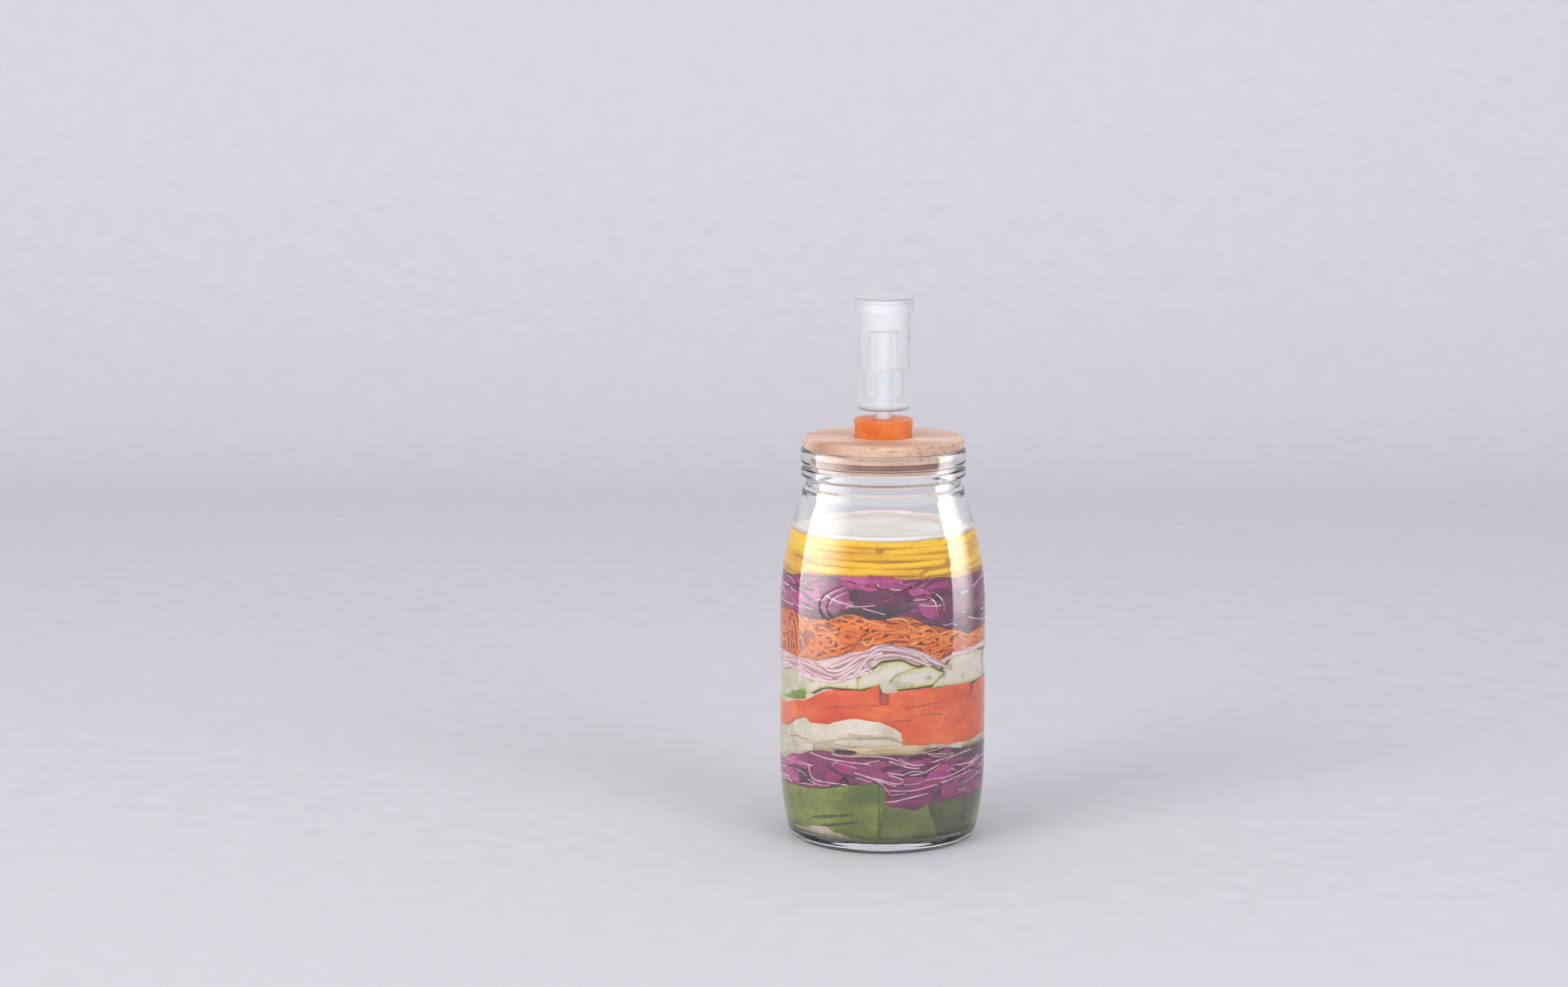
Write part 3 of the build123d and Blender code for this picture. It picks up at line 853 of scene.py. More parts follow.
def wetFlesh(name, dark, middle, light, size, stretch=(1, 1, 1), gloss=0.22, glow=0.0):
    # cut vegetable under brine: three shades that run into each other, fine grain on top, and a wet shine
    material, shader, _ = newMaterial(name)
    cloud = noiseAt(material, size, stretch, detail=4, roughness=0.55)
    mixed = maths(material, "MULTIPLY_ADD", noiseAt(material, size * 7, stretch), 0.25, cloud)
    flesh = ramp(material, mixed, [(0.47, dark), (0.62, middle), (0.80, light)])
    setInputs(
        shader, Base_Color=flesh, Roughness=gloss, Subsurface_Weight=glow, Subsurface_Radius=(1, 0.6, 0.4),
        Subsurface_Scale=0.003)
    addBump(material, shader, mixed, 0.15, 0.0012)
    return material


def backAngles(count, start, end):
    # even places behind the part that the front pieces fill
    step = (end - start) / count
    return [(start + step * place, start + step * (place + 1)) for place in range(count)]


# green pepper

greenLooks = {
    "flesh": wetFlesh("greenPepperSkin", (78, 92, 30), (102, 116, 40), (130, 142, 62), 34, (1, 1, 1.6)),
    "dull": wetFlesh("greenPepperDull", (74, 82, 38), (94, 102, 50), (114, 122, 66), 30),
    # painted shade: a darker copy of the green, for the right side away from the light, the creases and a
    # shadow line
    "shade": wetFlesh("greenPepperPaintedShade", (54, 60, 30), (70, 76, 38), (86, 92, 48), 40),
    "inside": wetFlesh("greenPepperInside", (166, 150, 126), (186, 172, 150), (204, 192, 174), 40),
}


def makeGreenPepper():
    top = layerEdges["greenPepper"]
    flesh, dull, dark, inside = greenLooks.values()
    coreUnder = edgeLine([(-80, 14), (-50, 19), (-38, 21), (-16, 13), (-6, 9), (60, 9)], wave=0)
    under = edgeLine([(-90, 12), (-56, 13.6), (-46, 16.8), (-38, 17.6), (-28, 14), (-18, 11), (-8, 9.4)])
    # thin dark lenses against the glass: painted shade in the creases where pieces overlap
    creaseShadeForm = {"roundness": 0.5, "thickness": 0.5, "swell": 0.5, "edgeWidth": 1, "ragged": 0.1}
    # painted shadow: dark lines down the right end of the left piece
    shadowLines = [
        [(-1.6, 49.5, 0.4), (-1.8, 44, 0.4), (-2.0, 36, 0.4)],
        [(-1.4, 33, 0.2), (-1.9, 24, 0.2), (-1.7, 12, 0.3)]]
    streaks = [
        [(6 + 0.4 * turn, 10, 1.2), (5 + 2.2 * turn, 20, 0.9), (3 + 4 * turn, 30 - 0.4 * turn, 1.1)]
        for turn in range(9)]
    pieces = [
        pileCore("greenPepperCore", coreUnder, top, dull, 3.4),
        slab(-72, -12, 8.8, shift(under, 4), 2.2, inside, roundness=0.05),
        slab(-92, 0.5, under, top, 0.6, flesh, swell=1.0, edgeWidth=2.5, roundness=0.02, slant=3, cells=60),
        slab(-8, 34, 9.3, lambda a: min(top(a), 36.5) + 0.5, 1, dull, roundness=0.02, slant=-5, ragged=0.03),
        # painted shade: the right side is laid in the darker copy
        slab(24, 84, 10, shift(top, 1), 1.6, dark, roundness=0.02, slant=-7, ragged=0.02),
        slab(-47, -16, lean(24.4, 0.2, -30), lean(27.6, 0.2, -30), 0.3, dark, **creaseShadeForm),
        slab(-41, -13, lean(18.8, 0.22, -30), lean(21.4, 0.22, -30), 0.3, dark, **creaseShadeForm),
        strands(shadowLines, 0.3, dark),
        strands(streaks, 0.1, flesh, width=0.15),
    ]
    for place, (start, end) in enumerate(backAngles(5, 78, 272)):
        low, drop, fall = luck.uniform(9.5, 14), luck.uniform(-1, 2), luck.uniform(0.002, 0.008)
        pieces.append(slab(
            start - 7, end + 7, low, arch(top, -drop, fall, (start + end) / 2), 0.6 + 1.4 * (place % 2),
            (flesh, dull, flesh)[place % 3], roundness=0.1, ragged=0.06, slant=luck.uniform(-7, 7)))
    joinLayer("greenPepperPieces", pieces, "green_pepper")


makeGreenPepper()


# red cabbage, lower and upper layer

cabbageLooks = {
    # painted shade: a darker copy of the leaf for the body behind the shreds, seen in the gaps
    "core": wetFlesh("cabbageDeepShade", (62, 20, 44), (94, 34, 68), (124, 50, 90), 42, (0.5, 0.5, 2.2)),
    "leaf": wetFlesh("cabbageLeaf", (94, 28, 66), (124, 42, 90), (154, 64, 112), 30, (0.6, 0.6, 2.0)),
    "bright": wetFlesh("cabbageBright", (132, 28, 92), (154, 42, 112), (182, 80, 142), 34, (0.7, 0.7, 1.6)),
    # the darkest purple: partly the leaf's own deep purple and partly painted shade between and behind the
    # lit pieces
    "darkLeafAndShade": wetFlesh("cabbageDarkLeafAndShade", (50, 20, 38), (74, 30, 54), (102, 44, 74), 36, (0.6, 0.6, 2.0)),
    "cut": wetFlesh("cabbageCut", (184, 134, 158), (208, 164, 184), (228, 196, 208), 120, gloss=0.3),
}


def shredRoutes(count, start, end, low, high, depths, span=(14, 34), climb=9.0, tilts=(-35, 35), edge=1.6):
    # long shreds at a slant between two heights given as functions of the angle
    routes = []
    for place in range(count):
        angle = start + (end - start) * (place + luck.random()) / count
        length = luck.uniform(*span)
        z = luck.uniform(low(angle) + edge, max(high(angle) - edge, low(angle) + edge + 0.1))
        rise, bow, depth = luck.uniform(-climb, climb), luck.uniform(-2.5, 2.5), luck.uniform(*depths)
        tilt, turn = luck.uniform(*tilts), luck.uniform(-30, 30)
        route = []
        for share in levels(-0.5, 0.5, 5):
            here = angle + length * share
            height = z + rise * share + bow * (1 - 4 * share * share)
            height = min(max(height, low(here) + edge), high(here) - edge)
            route.append((here, height, depth + 0.8 * abs(share) * luck.random(), tilt + turn * share))
        routes.append(route)
    return routes


def cabbageShreds(low, high, front, back):
    # ribbons of leaf in four shades, laid from the deep ones out to those against the glass; the darkest
    # stand partly for painted shade between the lit ribbons
    pieces = []
    for look, share in (("darkLeafAndShade", 0.8), ("leaf", 1.0), ("bright", 0.6), ("leaf", 0.7)):
        for width in (1.5, 2.4):
            depths = (0.7 + width / 4, 2.8)
            routes = shredRoutes(int(front * share), -92, 92, low, high, depths, edge=width)
            routes += shredRoutes(int(back * share), 90, 270, low, high, depths, edge=width)
            pieces.append(strands(routes, 0.28, cabbageLooks[look], width=width, fine=3))
    return pieces


def leafCut(*place, **form):
    return slab(*place, thickness=1, **form)


lowerCuts = [
    [(-46, 67.5), (-40, 66.5), (-34, 65), (-23, 65), (-14, 64), (-7, 63.7)],
    [(-30, 69.4), (-28, 67.8), (-16, 68.3), (-1, 69.9), (8, 67.5), (14, 63)],
    [(-16, 57.5), (-8, 55), (1, 53), (9, 49.4), (14, 51.9), (10, 54.6), (4, 56.3)],
    [(-12, 56.5), (-6, 53.5), (2, 51.5), (8, 48.8)],
    [(10, 67.4), (16, 62.6), (22, 62.2), (27, 63), (32, 64), (45, 66.5)],
    [(3, 58), (10, 56.8), (18, 55), (29, 58.2), (40, 64.7), (52, 67), (62, 67)],
    [(2, 46.2), (13, 44.8), (23, 45.7), (33, 48.2), (48, 50.7), (62, 53)],
    [(2, 38.3), (5, 37.8), (9, 38.5), (14, 40.2), (21, 41.3), (27, 42.6)],
    [(27, 51.6), (32, 52.6), (38, 51.5), (45, 53), (53, 54.7), (66, 57)],
    [(46, 59.5), (55, 58), (64, 57.5), (71, 61.5)],
    [(-47, 58), (-46, 49.4), (-40, 48.8), (-34, 49), (-20, 48.6)],
    [(-58, 58.6), (-50, 58.9), (-44, 58.6)],
    [(4, 66), (8, 64.5), (13, 62), (17, 60.5), (22, 60.5)],
]


def makeLowerCabbage():
    low, high = layerEdges["greenPepper"], layerEdges["lowerCabbage"]
    core, leaf, bright, darkLeafAndShade, cut = cabbageLooks.values()
    pieces = [
        # the core is laid in the painted shade copy
        pileCore("lowerCabbageCore", low, high, core, 3.4, lumps=1.6),
        leafCut(-90, -55, low, high, 0.8, bright, roundness=0.05, ragged=0.1),
        leafCut(-47, -27, low, shift(high, -1), 0.8, leaf, ragged=0.15),
        leafCut(-35, -17, shift(low, 2), shift(high, -2), 0.6, bright, roundness=0.25, slant=4, ragged=0.3),
        leafCut(-24, 2, low, shift(high, -4), 0.9, leaf, roundness=0.1, slant=-3, ragged=0.15),
        leafCut(0, 28, lean(40, 0.1), lean(57, -0.1), 1.2, leaf, slant=4, ragged=0.2),
        leafCut(1, 32, 33.5, 44.5, 0.8, leaf, ragged=0.12),
        leafCut(
            22, 48, lean(43, 0.3, 24), lean(58, 0.3, 24), 0.9, bright, roundness=0.25, slant=5, ragged=0.3),
        leafCut(36, 76, 36, 53, 1.4, leaf, ragged=0.15, slant=3),
        # partly painted shade: the darkest purple at the back on the right
        leafCut(40, 84, 52, 70, 1.8, darkLeafAndShade, ragged=0.1),
    ]
    pieces += cabbageShreds(low, high, 10, 16)
    pieces += [
        strands(laid(lowerCuts, 0, 0.45, 0.2), 0.26, cut, width=0.22),
        strands(shredRoutes(44, 76, 286, low, high, (0.4, 1.2), climb=6), 0.32, cut, width=0.25),
        strands(shredRoutes(18, -88, 74, low, high, (0.6, 1.2), (6, 18), 5), 0.18, cut, width=0.12),
    ]
    joinLayer("lowerCabbageShreds", pieces, "lower_cabbage")


def makeUpperCabbage():
    low, high = layerEdges["carrot"], layerEdges["upperCabbage"]
    core, leaf, bright, darkLeafAndShade, cut = cabbageLooks.values()
    pieces = [
        # the core is laid in the painted shade copy
        pileCore("upperCabbageCore", low, high, core, 3.4, lumps=1.6),
        leafCut(-92, -54, low, high, 0.8, bright, roundness=0.04, ragged=0.1),
        leafCut(-58, -38, shift(low, 1), high, 1.1, bright, roundness=0.15, slant=4, ragged=0.2),
        leafCut(-42, -20, shift(low, 5), high, 0.9, leaf, roundness=0.15, slant=-5, ragged=0.2),
        leafCut(-30, 44, shift(high, -9), high, 1.0, bright, roundness=0.03, ragged=0.05),
        # partly painted shade: the darkest purple in the middle
        leafCut(-21, 16, shift(low, 1), 183, 0.7, darkLeafAndShade, roundness=0.2, slant=-4, ragged=0.2),
        leafCut(16, 33, shift(low, 3), shift(high, -2), 0.8, bright, roundness=0.2, slant=-6, ragged=0.3),
        leafCut(34, 62, low, shift(high, -1), 1.0, leaf, roundness=0.1, slant=5, ragged=0.15),
    ]
    pieces += cabbageShreds(low, high, 13, 16)
    pieces += [
        strands(shredRoutes(40, 66, 292, low, high, (0.4, 1.2), climb=6), 0.32, cut, width=0.25),
        strands(shredRoutes(16, -84, 66, low, high, (0.5, 1.2), (7, 18), 6), 0.24, cut, width=0.15),
    ]
    joinLayer("upperCabbageShreds", pieces, "upper_cabbage")


makeLowerCabbage()
makeUpperCabbage()


# cauliflower

cauliflowerLooks = {
    "curd": wetFlesh(
        "cauliflowerCurd", (190, 176, 158), (209, 197, 182), (225, 216, 205), 45, gloss=0.35, glow=0.2),
    "vein": wetFlesh("cauliflowerVein", (176, 146, 106), (192, 166, 128), (206, 184, 150), 60, gloss=0.35),
    "stem": wetFlesh(
        "cauliflowerStem", (176, 154, 118), (196, 176, 142), (212, 196, 168), 60, (0.5, 0.5, 3), gloss=0.35),
}
cauliflowerCuts = {
    "leftTop": [(-88, 78), (-72, 81), (-57, 88.5), (-51, 92), (-46, 87)],
    "floretUnder": [(-52, 72), (-16, 80), (3, 82), (13, 78)],
    "floretTop": [
        (-52, 88), (-43, 89.3), (-34, 89.3), (-28, 92.8), (-16, 95), (-5, 94), (4, 90.5), (10.8, 87),
        (11.4, 79)],
    "lobeUnder": [(-50, 71), (-28, 71.5), (-8, 73), (10, 75)],
    "lobeTop": [(-50, 78), (-16, 82), (3, 83), (12, 79)],
    "stemTop": [(-26, 74), (3, 76), (15, 77), (29, 76.5), (60, 75)],
    "ribs": [
        [(-16, 81.6, 0.9), (-5, 82, 0.9), (3, 82.3, 0.9), (14, 78.5, 1.0)],
        [(-8, 73.1, 0.7), (3, 73.2, 0.7), (15, 74.6, 0.7), (29, 74.4, 0.7)],
        [(-10, 70.8, 0.8), (6, 69.8, 0.8), (21, 69.2, 0.8), (38, 72.9, 0.8)],
        [(-48, 79, 1.0), (-40, 80, 0.9), (-30, 81.5, 0.9), (-22, 81, 1.0)],
    ],
}


def makeCauliflower():
    low, high = layerEdges["lowerCabbage"], layerEdges["cauliflower"]
    curd, vein, stem = cauliflowerLooks.values()
    leftTop, floretUnder, floretTop, lobeUnder, lobeTop, stemTop, ribs = cauliflowerCuts.values()
    pieces = [
        pileCore("cauliflowerCore", low, high, stem, 3.4, lumps=1.5),
        slab(-90, -43, low, leftTop, 1.1, curd, roundness=0.04, ragged=0.05),
        slab(-52, 13, floretUnder, floretTop, 0.6, curd, roundness=0.01, swell=1.2, edgeWidth=2.4, cells=60),
        slab(-50, 10, lobeUnder, lobeTop, 1.8, curd, roundness=0.04),
        slab(-26, 60, low, stemTop, 1.2, stem, roundness=0.03),
        slab(8, 70, shift(low, 2), shift(high, -1), 2.2, curd, roundness=0.04),
    ]
    for place, (start, end) in enumerate(backAngles(7, 62, 276)):
        lift, sink = luck.uniform(1, 3.4), luck.uniform(-1, 2.5)
        crown = arch(high, lift, 0.014, (start + end) / 2)
        pieces.append(slab(
            start - 5, end + 5, shift(low, sink), crown, 0.5 + (place % 2), curd if place % 3 else stem,
            roundness=0.25, swell=2.4, edgeWidth=4.5, slant=luck.uniform(-6, 6), ragged=0.06, lumps=0.6))
    fine = shredRoutes(16, -84, 44, shift(low, 1), shift(high, -5), (0.55, 0.7), (9, 20), 3, (0, 0), 0.5)
    pieces.append(strands(ribs + fine, 0.22, vein, width=0.12))
    # painted shadow: a thin dark purple lens under the florets' lower edge
    pieces.append(slab(
        -30, -14, 69.6, 73, 0.5, cabbageLooks["darkLeafAndShade"], roundness=0.5, ragged=0.2, thickness=0.8, swell=0.6,
        edgeWidth=1))
    joinLayer("cauliflowerPieces", pieces, "cauliflower")


makeCauliflower()


# red pepper

redLooks = {
    "flesh": wetFlesh("redPepperSkin", (204, 66, 18), (220, 88, 32), (232, 116, 56), 24, (1, 1, 1.8), 0.18),
    # painted shade: a darker copy of the red for the body behind the pieces, seen in the gaps and the notch
    # in the middle
    "deep": wetFlesh("redPepperDeepShade", (140, 50, 34), (168, 62, 40), (192, 78, 48), 40),
    # painted shade: a darker copy of the red along the creases
    "creaseShade": wetFlesh("redPepperCreaseShade", (168, 62, 26), (186, 74, 32), (204, 88, 42), 60, gloss=0.18),
}
# lines of painted shade along the creases
redCreaseShadows = [
    [(-31, 101, 0.6), (-24, 102.6, 0.5), (-14, 103.4, 0.5), (-3, 104, 0.6)],
    [(-27, 102.4, 0.6), (-20, 101.6, 0.5), (-13, 102.4, 0.6)],
    [(14, 102, 0.6), (24, 103, 0.5), (33, 103.6, 0.5), (39, 106, 0.6)],
    [(22, 97, 0.6), (30, 97.6, 0.5), (36, 95.6, 0.6)],
    [(3, 92, 0.7), (9, 94, 0.6), (17, 93.4, 0.5)],
]


def makeRedPepper():
    low, high = layerEdges["cauliflower"], layerEdges["redPepper"]
    flesh, deep, creaseShade = redLooks.values()
    under = lambda a: max(low(a), 73.5) - 0.5
    pieces = [
        # the core is laid in the painted shade copy
        pileCore("redPepperCore", low, high, deep, 4),
        slab(-88, -57, low, high, 0.9, flesh, roundness=0.03),
        slab(-58, -1.6, shift(low, -1), high, 0.5, flesh, roundness=0.02, edgeWidth=2.5),
        slab(3.6, 62, under, high, 0.6, flesh, roundness=0.03, edgeWidth=2.5, cells=60),
        slab(-6, 12, low, 104, 0.9, flesh, roundness=0.1),
        slab(14, 46, 76, lean(92, 0.1), 0.45, flesh, roundness=0.3, thickness=0.5, swell=0.3, ragged=0.15),
    ]
    for place, (start, end) in enumerate(backAngles(5, 62, 272)):
        lift, fall = luck.uniform(-0.5, 1.2), luck.uniform(0.001, 0.005)
        crown = arch(high, lift, fall, (start + end) / 2)
        pieces.append(slab(
            start - 4, end + 4, shift(low, -0.5), crown, 0.5 + 1.2 * (place % 2), flesh, roundness=0.08,
            slant=luck.uniform(-6, 6), ragged=0.03, edgeWidth=4))
    pieces.append(strands(redCreaseShadows, 0.2, creaseShade, width=0.35))
    joinLayer("redPepperPieces", pieces, "red_pepper")


makeRedPepper()


# courgette

def courgetteLook():
    # dark rind at the cut's edge, then a yellow-green rim, then pale flesh
    material, shader, _ = newMaterial("courgetteSlice")
    mark = addNode(material, "ShaderNodeAttribute", attribute_name="edge").outputs["Fac"]
    depth = maths(material, "MULTIPLY_ADD", noiseAt(material, 90, detail=2), 0.5, mark)
    cut = ramp(material, maths(material, "DIVIDE", depth, 8.0), [
        (0.13, (72, 74, 28)), (0.185, (96, 102, 38)), (0.23, (172, 176, 86)), (0.34, (206, 202, 150)),
        (0.5, (216, 206, 188)), (0.9, (223, 212, 200))])
    seeds = noiseAt(material, 130, detail=3)
    spots = ramp(material, seeds, [(0.32, (196, 176, 150)), (0.44, 1)])
    setInputs(
        shader, Base_Color=mixColours(material, 0.7, cut, spots), Roughness=0.25, Subsurface_Weight=0.15,
        Subsurface_Radius=(1, 0.9, 0.6), Subsurface_Scale=0.003)
    addBump(material, shader, seeds, 0.1, 0.0008)
    return material


courgetteLooks = {
    "slice": courgetteLook(),
    "flesh": wetFlesh("courgetteFlesh", (188, 178, 154), (205, 195, 174), (219, 210, 193), 50, glow=0.1),
    "rind": wetFlesh("courgetteRind", (88, 112, 34), (120, 148, 46), (156, 178, 72), 60, (0.4, 0.4, 2)),
}
# from, to (degrees), lower edge, upper edge, depth, roundness and width of the edge of each slice in front
frontSlices = [
    (-54, 3, [(-54, 104), (-32, 113), (-14, 113), (-4, 117)], [(-54, 115), (-34, 122), (-16, 126), (3, 133)],
     1.5, 0.1, 2),
    (-16, 22, [(-16, 113), (3, 117), (22, 121)],
     [(-16, 122.5), (-8, 128), (1, 134.6), (10, 135.4), (20, 131), (22, 130)], 1.0, 0.06, 1.6),
    (1, 39, [(1, 112.5), (16, 114), (29, 115), (37, 121), (39, 123)],
     [(1, 119), (10, 127.2), (19, 130), (27, 131), (37, 126), (39, 125)], 0.5, 0.05, 1.6),
    (28, 92, [(28, 112.5), (34, 113), (60, 112)],
     [(28, 113.5), (33, 121), (38, 128.5), (45, 136), (60, 137.4), (80, 134)], 1.4, 0.02, 1.6),
]


def makeCourgette():
    low, high = layerEdges["redPepper"], layerEdges["courgette"]
    cut, flesh, rind = courgetteLooks.values()
    rindUnder = [(-78, 99), (-61, 101), (-50, 103)]
    rindTop = [(-78, 102), (-72, 103), (-61, 108), (-50, 111.5)]
    chipUnder = lambda a: 111.6 + 0.15 * abs(a - 4)
    chip = {"thickness": 1.6, "swell": 0.8, "cells": 14}
    pieces = [
        pileCore("courgetteCore", low, high, flesh, 3.6, lumps=1.2),
        slab(-90, -44, shift(low, -3), shift(high, 1), 1.6, flesh, roundness=0.03),
        slab(-78, -50, rindUnder, rindTop, 0.6, rind, roundness=0.1, thickness=1.4),
    ]
    for *place, roundness, width in frontSlices:
        pieces.append(slab(*place, cut, roundness=roundness, edgeWidth=width, thickness=2))
    pieces += [
        slab(-1.6, 9, chipUnder, 121, 0.4, flesh, roundness=0.12, slant=-1, ragged=0.12, **chip),
        slab(5, 17, 114.8, 121, 0.45, flesh, roundness=0.2, slant=1.5, ragged=0.15, **chip),
    ]
    for place, (start, end) in enumerate(backAngles(8, 84, 276)):
        tip, tilt, spread = (start + end) / 2 + luck.uniform(-4, 4), luck.uniform(-9, 9), luck.uniform(6, 11)
        keel = lambda a: low(a) - 1 + 0.006 * (a - tip - tilt) ** 2
        crown = arch(asEdge(high(tip)), 1, 0.02, tip)
        pieces.append(slab(
            start - spread, end + spread, keel, crown, 0.5 + 0.9 * (place % 2), cut, roundness=0.2,
            edgeWidth=1.6, thickness=2, slant=tilt))
    joinLayer("courgetteSlices", pieces, "courgette")


makeCourgette()


# red onion

onionLooks = {
    "flesh": wetFlesh(
        "onionFlesh", (214, 176, 184), (226, 196, 200), (238, 218, 218), 60, (0.5, 0.5, 2), glow=0.15),
    "skin": wetFlesh("onionSkin", (146, 62, 102), (172, 88, 124), (198, 124, 152), 90),
}
onionCurves = [
    [(-16, 125.8), (-12, 132), (-8, 139.6), (-1, 145), (10, 144.7), (20, 141), (29, 137), (39, 128.5)],
    [(-72, 123.2), (-60, 126), (-51, 126.1), (-43, 122.9), (-36, 118.6), (-26, 119.5), (-14, 126.5),
     (-8, 130.6)],
    [(-57, 121.6), (-48, 120.5), (-41, 118.7), (-28, 119.4), (-16, 124.6), (-8, 127.4)],
    [(-34, 127.5), (-28, 126), (-20, 130), (-16, 137), (-8, 140)],
    [(-1, 143.1), (4, 143.4), (10, 142.5), (25, 136.8), (38, 130)],
    [(21, 139.6), (25, 134.5), (29, 131)],
    [(-72, 128), (-58, 129), (-48, 125), (-38, 121.5), (-30, 122)],
    [(-50, 130), (-40, 126.5), (-34, 124), (-24, 124.6), (-14, 130)],
    [(-8, 139.5), (-11, 135), (-10, 130), (-6, 128)],
    [(36, 133), (44, 136), (52, 138.5), (62, 138)],
    [(-46, 131), (-41, 128.4), (-36, 125.6), (-30, 122.7), (-22, 126.5), (-16, 132.7), (-8, 137.7)],
    [(-31, 129.5), (-25, 132), (-20, 136), (-12, 139), (-4, 141.5)],
    [(-62, 130.6), (-54, 128.6), (-46, 129.4), (-40, 127)],
    [(-26, 121.5), (-19, 127), (-13, 133), (-9, 137.6), (0, 141.2)],
    [(-5, 137), (2, 140.4), (12, 139.4), (22, 134.4), (29, 130.6)],
    [(7, 143.9), (17, 141), (27, 136.2), (35, 130.8)],
    [(-70, 126), (-60, 124.4), (-52, 123.6), (-45, 121)],
]


def makeRedOnion():
    low, high = layerEdges["courgette"], layerEdges["redOnion"]
    flesh, skin = onionLooks.values()
    pieces = [
        pileCore("onionCore", low, high, flesh, 3.4, lumps=1),
        strands(laid(onionCurves, -0.9, 0.9, 0.3), 0.5, flesh, width=0.9),
        strands(laid(onionCurves, 0.1, 0.5, 0.3), 0.22, skin, width=0.1),
        strands(laid(onionCurves[:5], -2.1, 0.8, 0.3), 0.16, skin),
    ]
    bows, rims, count = [], [], 34
    for place in range(count):
        angle = 56 + (286 - 56) * (place + luck.random()) / count
        span, depth = luck.uniform(14, 30), luck.uniform(0.6, 2.2)
        bottom, top = low(angle) - 1, high(angle)
        z, rise = luck.uniform(bottom + 1, top - 1.5), luck.uniform(-4, 4)
        bow = []
        for share in levels(0, 1, 6):
            height = max(z + rise * (1 - (2 * share - 1) ** 2), bottom)
            bow.append((angle + span * (share - 0.5), min(height, top - 0.6), depth))
        bows.append(bow)
        rims.append([(a, h + 1.0, d - 0.3) for a, h, d in bow])
    pieces.append(strands(bows, 0.5, flesh, width=0.9))
    pieces.append(strands(rims, 0.28, skin))
    joinLayer("redOnionStrips", pieces, "red_onion")


makeRedOnion()


# carrot noodles

carrotLooks = {
    "noodle": wetFlesh(
        "carrotNoodle", (212, 98, 20), (226, 118, 34), (238, 146, 68), 90, (0.6, 0.6, 1.4), 0.2),
    # painted highlight: a paler copy of the orange, laid on every fourth noodle
    "pale": wetFlesh("carrotPaintedHighlight", (218, 128, 62), (230, 148, 82), (238, 172, 112), 90, gloss=0.2),
    # painted shade: a darker copy of the orange for the body behind the noodles, seen in the gaps
    "deep": wetFlesh("carrotDeepShade", (172, 74, 16), (196, 92, 24), (214, 110, 38), 70, (0.5, 0.5, 1.5)),
}
carrotShape = {
    # middle (degrees, mm), radius, turns, depth and first angle of each coil in front
    "coils": [
        (-19, 151.5, 9, 2.4, 1.2, 0), (-33, 146, 6, 1.5, 1.6, 2), (38, 145, 5, 1.5, 1.4, 1),
        (-3, 154, 6, 1.3, 1.5, 1), (12, 156, 5, 1.4, 1.4, 3), (27, 149, 5.5, 1.5, 1.5, 2),
        (-43, 141, 5, 1.3, 1.6, 0), (49, 143, 4, 1.4, 1.6, 3)],
    "loops": [
        [(-70, 134, 1.4), (-71, 146, 1.0), (-69, 158, 1.0), (-64, 163, 1.0), (-59, 158, 0.9), (-57, 146, 1.1),
         (-57, 136, 1.5)],
        [(-66, 136, 1.6), (-66, 148, 1.4), (-64, 157, 1.4), (-61, 150, 1.3), (-60, 138, 1.5)],
        [(-52, 140, 1.6), (-54, 150, 1.4), (-50, 158, 1.4), (-43, 154, 1.3), (-40, 144, 1.5)]],
    "noodles": 230,
    "backCoils": 16,
    "glassRadius": 65,  # about where the coils lie
}


def coil(angle, z, radius, turns, depth, start):
    points = []
    for step in range(int(turns * 8) + 1):
        bend = start + step * pi / 4
        reach = radius * (1 - 0.45 * step / (turns * 8))
        across = degrees(reach * cos(bend) / carrotShape["glassRadius"])
        deep = depth + 0.5 * sin(bend * 2) + 0.1 * step / 8
        points.append((angle + across, z + reach * 0.8 * sin(bend), deep))
    return points


def noodle(angle, low, high):
    z = luck.uniform(low(angle) + 1.2, high(angle) - 1.0)
    span, depth = luck.uniform(12, 30), luck.uniform(1.3, 3.6)
    if -84 < angle < -48:
        span, depth = 10, 3.4
    rise, sway, bend = luck.uniform(-7, 7), luck.uniform(0.5, 3.5), luck.uniform(0, 6)
    route = []
    for share in levels(0, 1, 7):
        here = angle + span * (share - 0.5)
        height = z + rise * (share - 0.5) + sway * sin(bend + share * 7)
        height = min(max(height, low(here) + 0.9), high(here) - 0.6)
        route.append((here, height, depth + 0.5 * sin(bend * 2 + share * 6)))
    return route


def makeCarrot():
    low, high = layerEdges["redOnion"], layerEdges["carrot"]
    look, pale, deep = carrotLooks.values()
    # the core is laid in the painted shade copy
    pieces = [pileCore("carrotCore", low, high, deep, 4.2, lumps=2)]
    coils = [coil(*place) for place in carrotShape["coils"]] + carrotShape["loops"]
    tangle, light = [], []
    for place in range(carrotShape["noodles"]):
        angle = 360 * (place + luck.random()) / carrotShape["noodles"] - 180
        # every fourth noodle takes the paler copy, a painted highlight
        (light if place % 4 == 0 else tangle).append(noodle(angle, low, high))
    for place in range(carrotShape["backCoils"]):
        angle = 60 + 225 * (place + luck.random()) / carrotShape["backCoils"]
        radius = luck.uniform(4, 8)
        z = luck.uniform(low(angle) + radius, high(angle) - radius * 0.8)
        coils.append(coil(angle, z, radius, luck.uniform(1.2, 2.4), 1.4, luck.uniform(0, 6)))
    for routes, thickness, paint in ((coils, 1.15, look), (tangle, 1.1, look), (light, 1.0, pale)):
        pieces.append(strands(routes, thickness, paint, fine=3))
    joinLayer("carrotNoodles", pieces, "carrot")


makeCarrot()


# yellow pepper

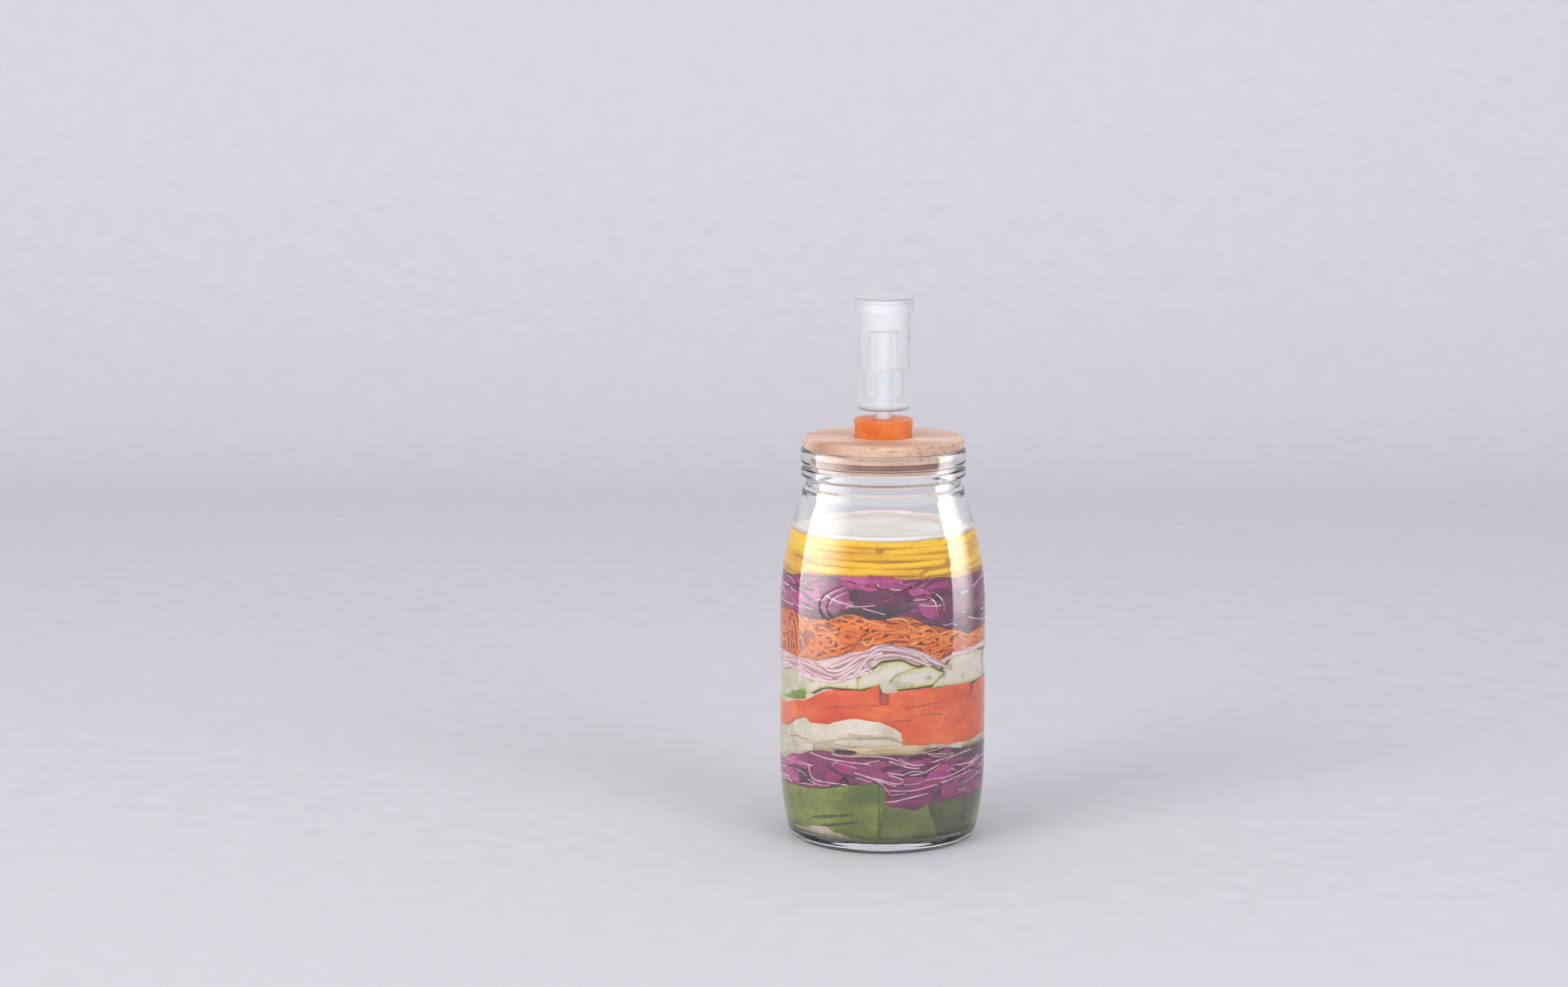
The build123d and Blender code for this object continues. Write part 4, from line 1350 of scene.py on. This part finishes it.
yellowLooks = {
    "strip": wetFlesh(
        "yellowPepperStrip", (214, 154, 8), (234, 180, 16), (243, 198, 40), 30, (0.6, 0.6, 2.4), 0.18),
    # painted shade: a darker copy of the yellow for the body behind the strips, seen in the gaps
    "deep": wetFlesh("yellowPepperDeepShade", (176, 116, 12), (200, 140, 18), (218, 160, 28), 40, (0.5, 0.5, 2)),
}
yellowShape = {
    "stoneRoom": 2.6,
    # start, end, z at its middle, height, slope and depth of each strip in front
    "front": [
        (-88, -57, 193, 8.5, 0.03, 0.5), (-84, -50, 200.5, 6.5, 0.05, 0.9), (-88, -46, 208, 8, -0.02, 0.6),
        (-56, -9, 192.5, 5.5, 0.02, 0.7), (-50, -2, 197.6, 4.6, -0.03, 1.1), (-54, 8, 202.4, 4.8, 0.03, 0.6),
        (-48, -4, 206.8, 4.2, -0.02, 1.2), (-52, 20, 210.8, 5, 0.0, 0.7), (-14, 24, 192.8, 4.8, -0.04, 0.9),
        (-8, 42, 197.2, 4.4, 0.03, 0.6), (4, 66, 201.6, 4.4, -0.03, 1.0), (0, 48, 206.2, 4.6, 0.02, 0.7),
        (18, 70, 209.8, 4.4, -0.02, 1.2), (12, 60, 212, 3.2, 0.02, 0.6), (26, 60, 191.6, 4.2, 0.03, 0.8),
        (46, 84, 196.4, 5.5, 0.05, 1.1)],
    "backRows": (188, 192.5, 197, 201.5, 206, 209.5),
}


def makeYellowPepper():
    low, high = layerEdges["upperCabbage"], layerEdges["yellowPepper"]
    strip, deep = yellowLooks.values()
    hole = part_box("upper_stone")[1].x / mm + yellowShape["stoneRoom"]
    # the core is laid in the painted shade copy
    pieces = [pileCore("yellowPepperCore", low, shift(high, -1.5), deep, 3.6, hole=hole)]
    for start, end, z, height, slope, depth in yellowShape["front"]:
        middle = (start + end) / 2
        under = lambda a: max(z - height / 2 + slope * (a - middle), low(a) - 0.3)
        over = lambda a: min(z + height / 2 + slope * (a - middle), high(a))
        pieces.append(slab(
            start, end, under, over, depth, strip, roundness=0.1, slant=luck.uniform(-3, 3), edgeWidth=2))
    for bottom in yellowShape["backRows"]:
        start = 56 + 14 * luck.random()
        while start < 285:
            end = min(start + luck.uniform(26, 66), 302)
            z, height = bottom + luck.uniform(-0.6, 0.6), luck.uniform(4.2, 5.8)
            slope, middle = luck.uniform(-0.06, 0.06), (start + end) / 2
            under = lambda a: max(z + slope * (a - middle), 187)
            over = lambda a: min(z + height + slope * (a - middle), high(a))
            pieces.append(slab(
                start - 3, end + 3, under, over, luck.uniform(0.5, 1.5), strip, roundness=0.12,
                slant=luck.uniform(-3, 3), edgeWidth=2))
            start = end
    joinLayer("yellowPepperStrips", pieces, "yellow_pepper")


makeYellowPepper()

# the lamp behind lights the object alone, so that the floor behind it stays even
notObject = ["paleFloor", *studio["cards"]]
lightOnly("objectOnly", ["backFill"], [
    piece for piece in scene.objects if piece.type == "MESH" and piece.name not in notObject])
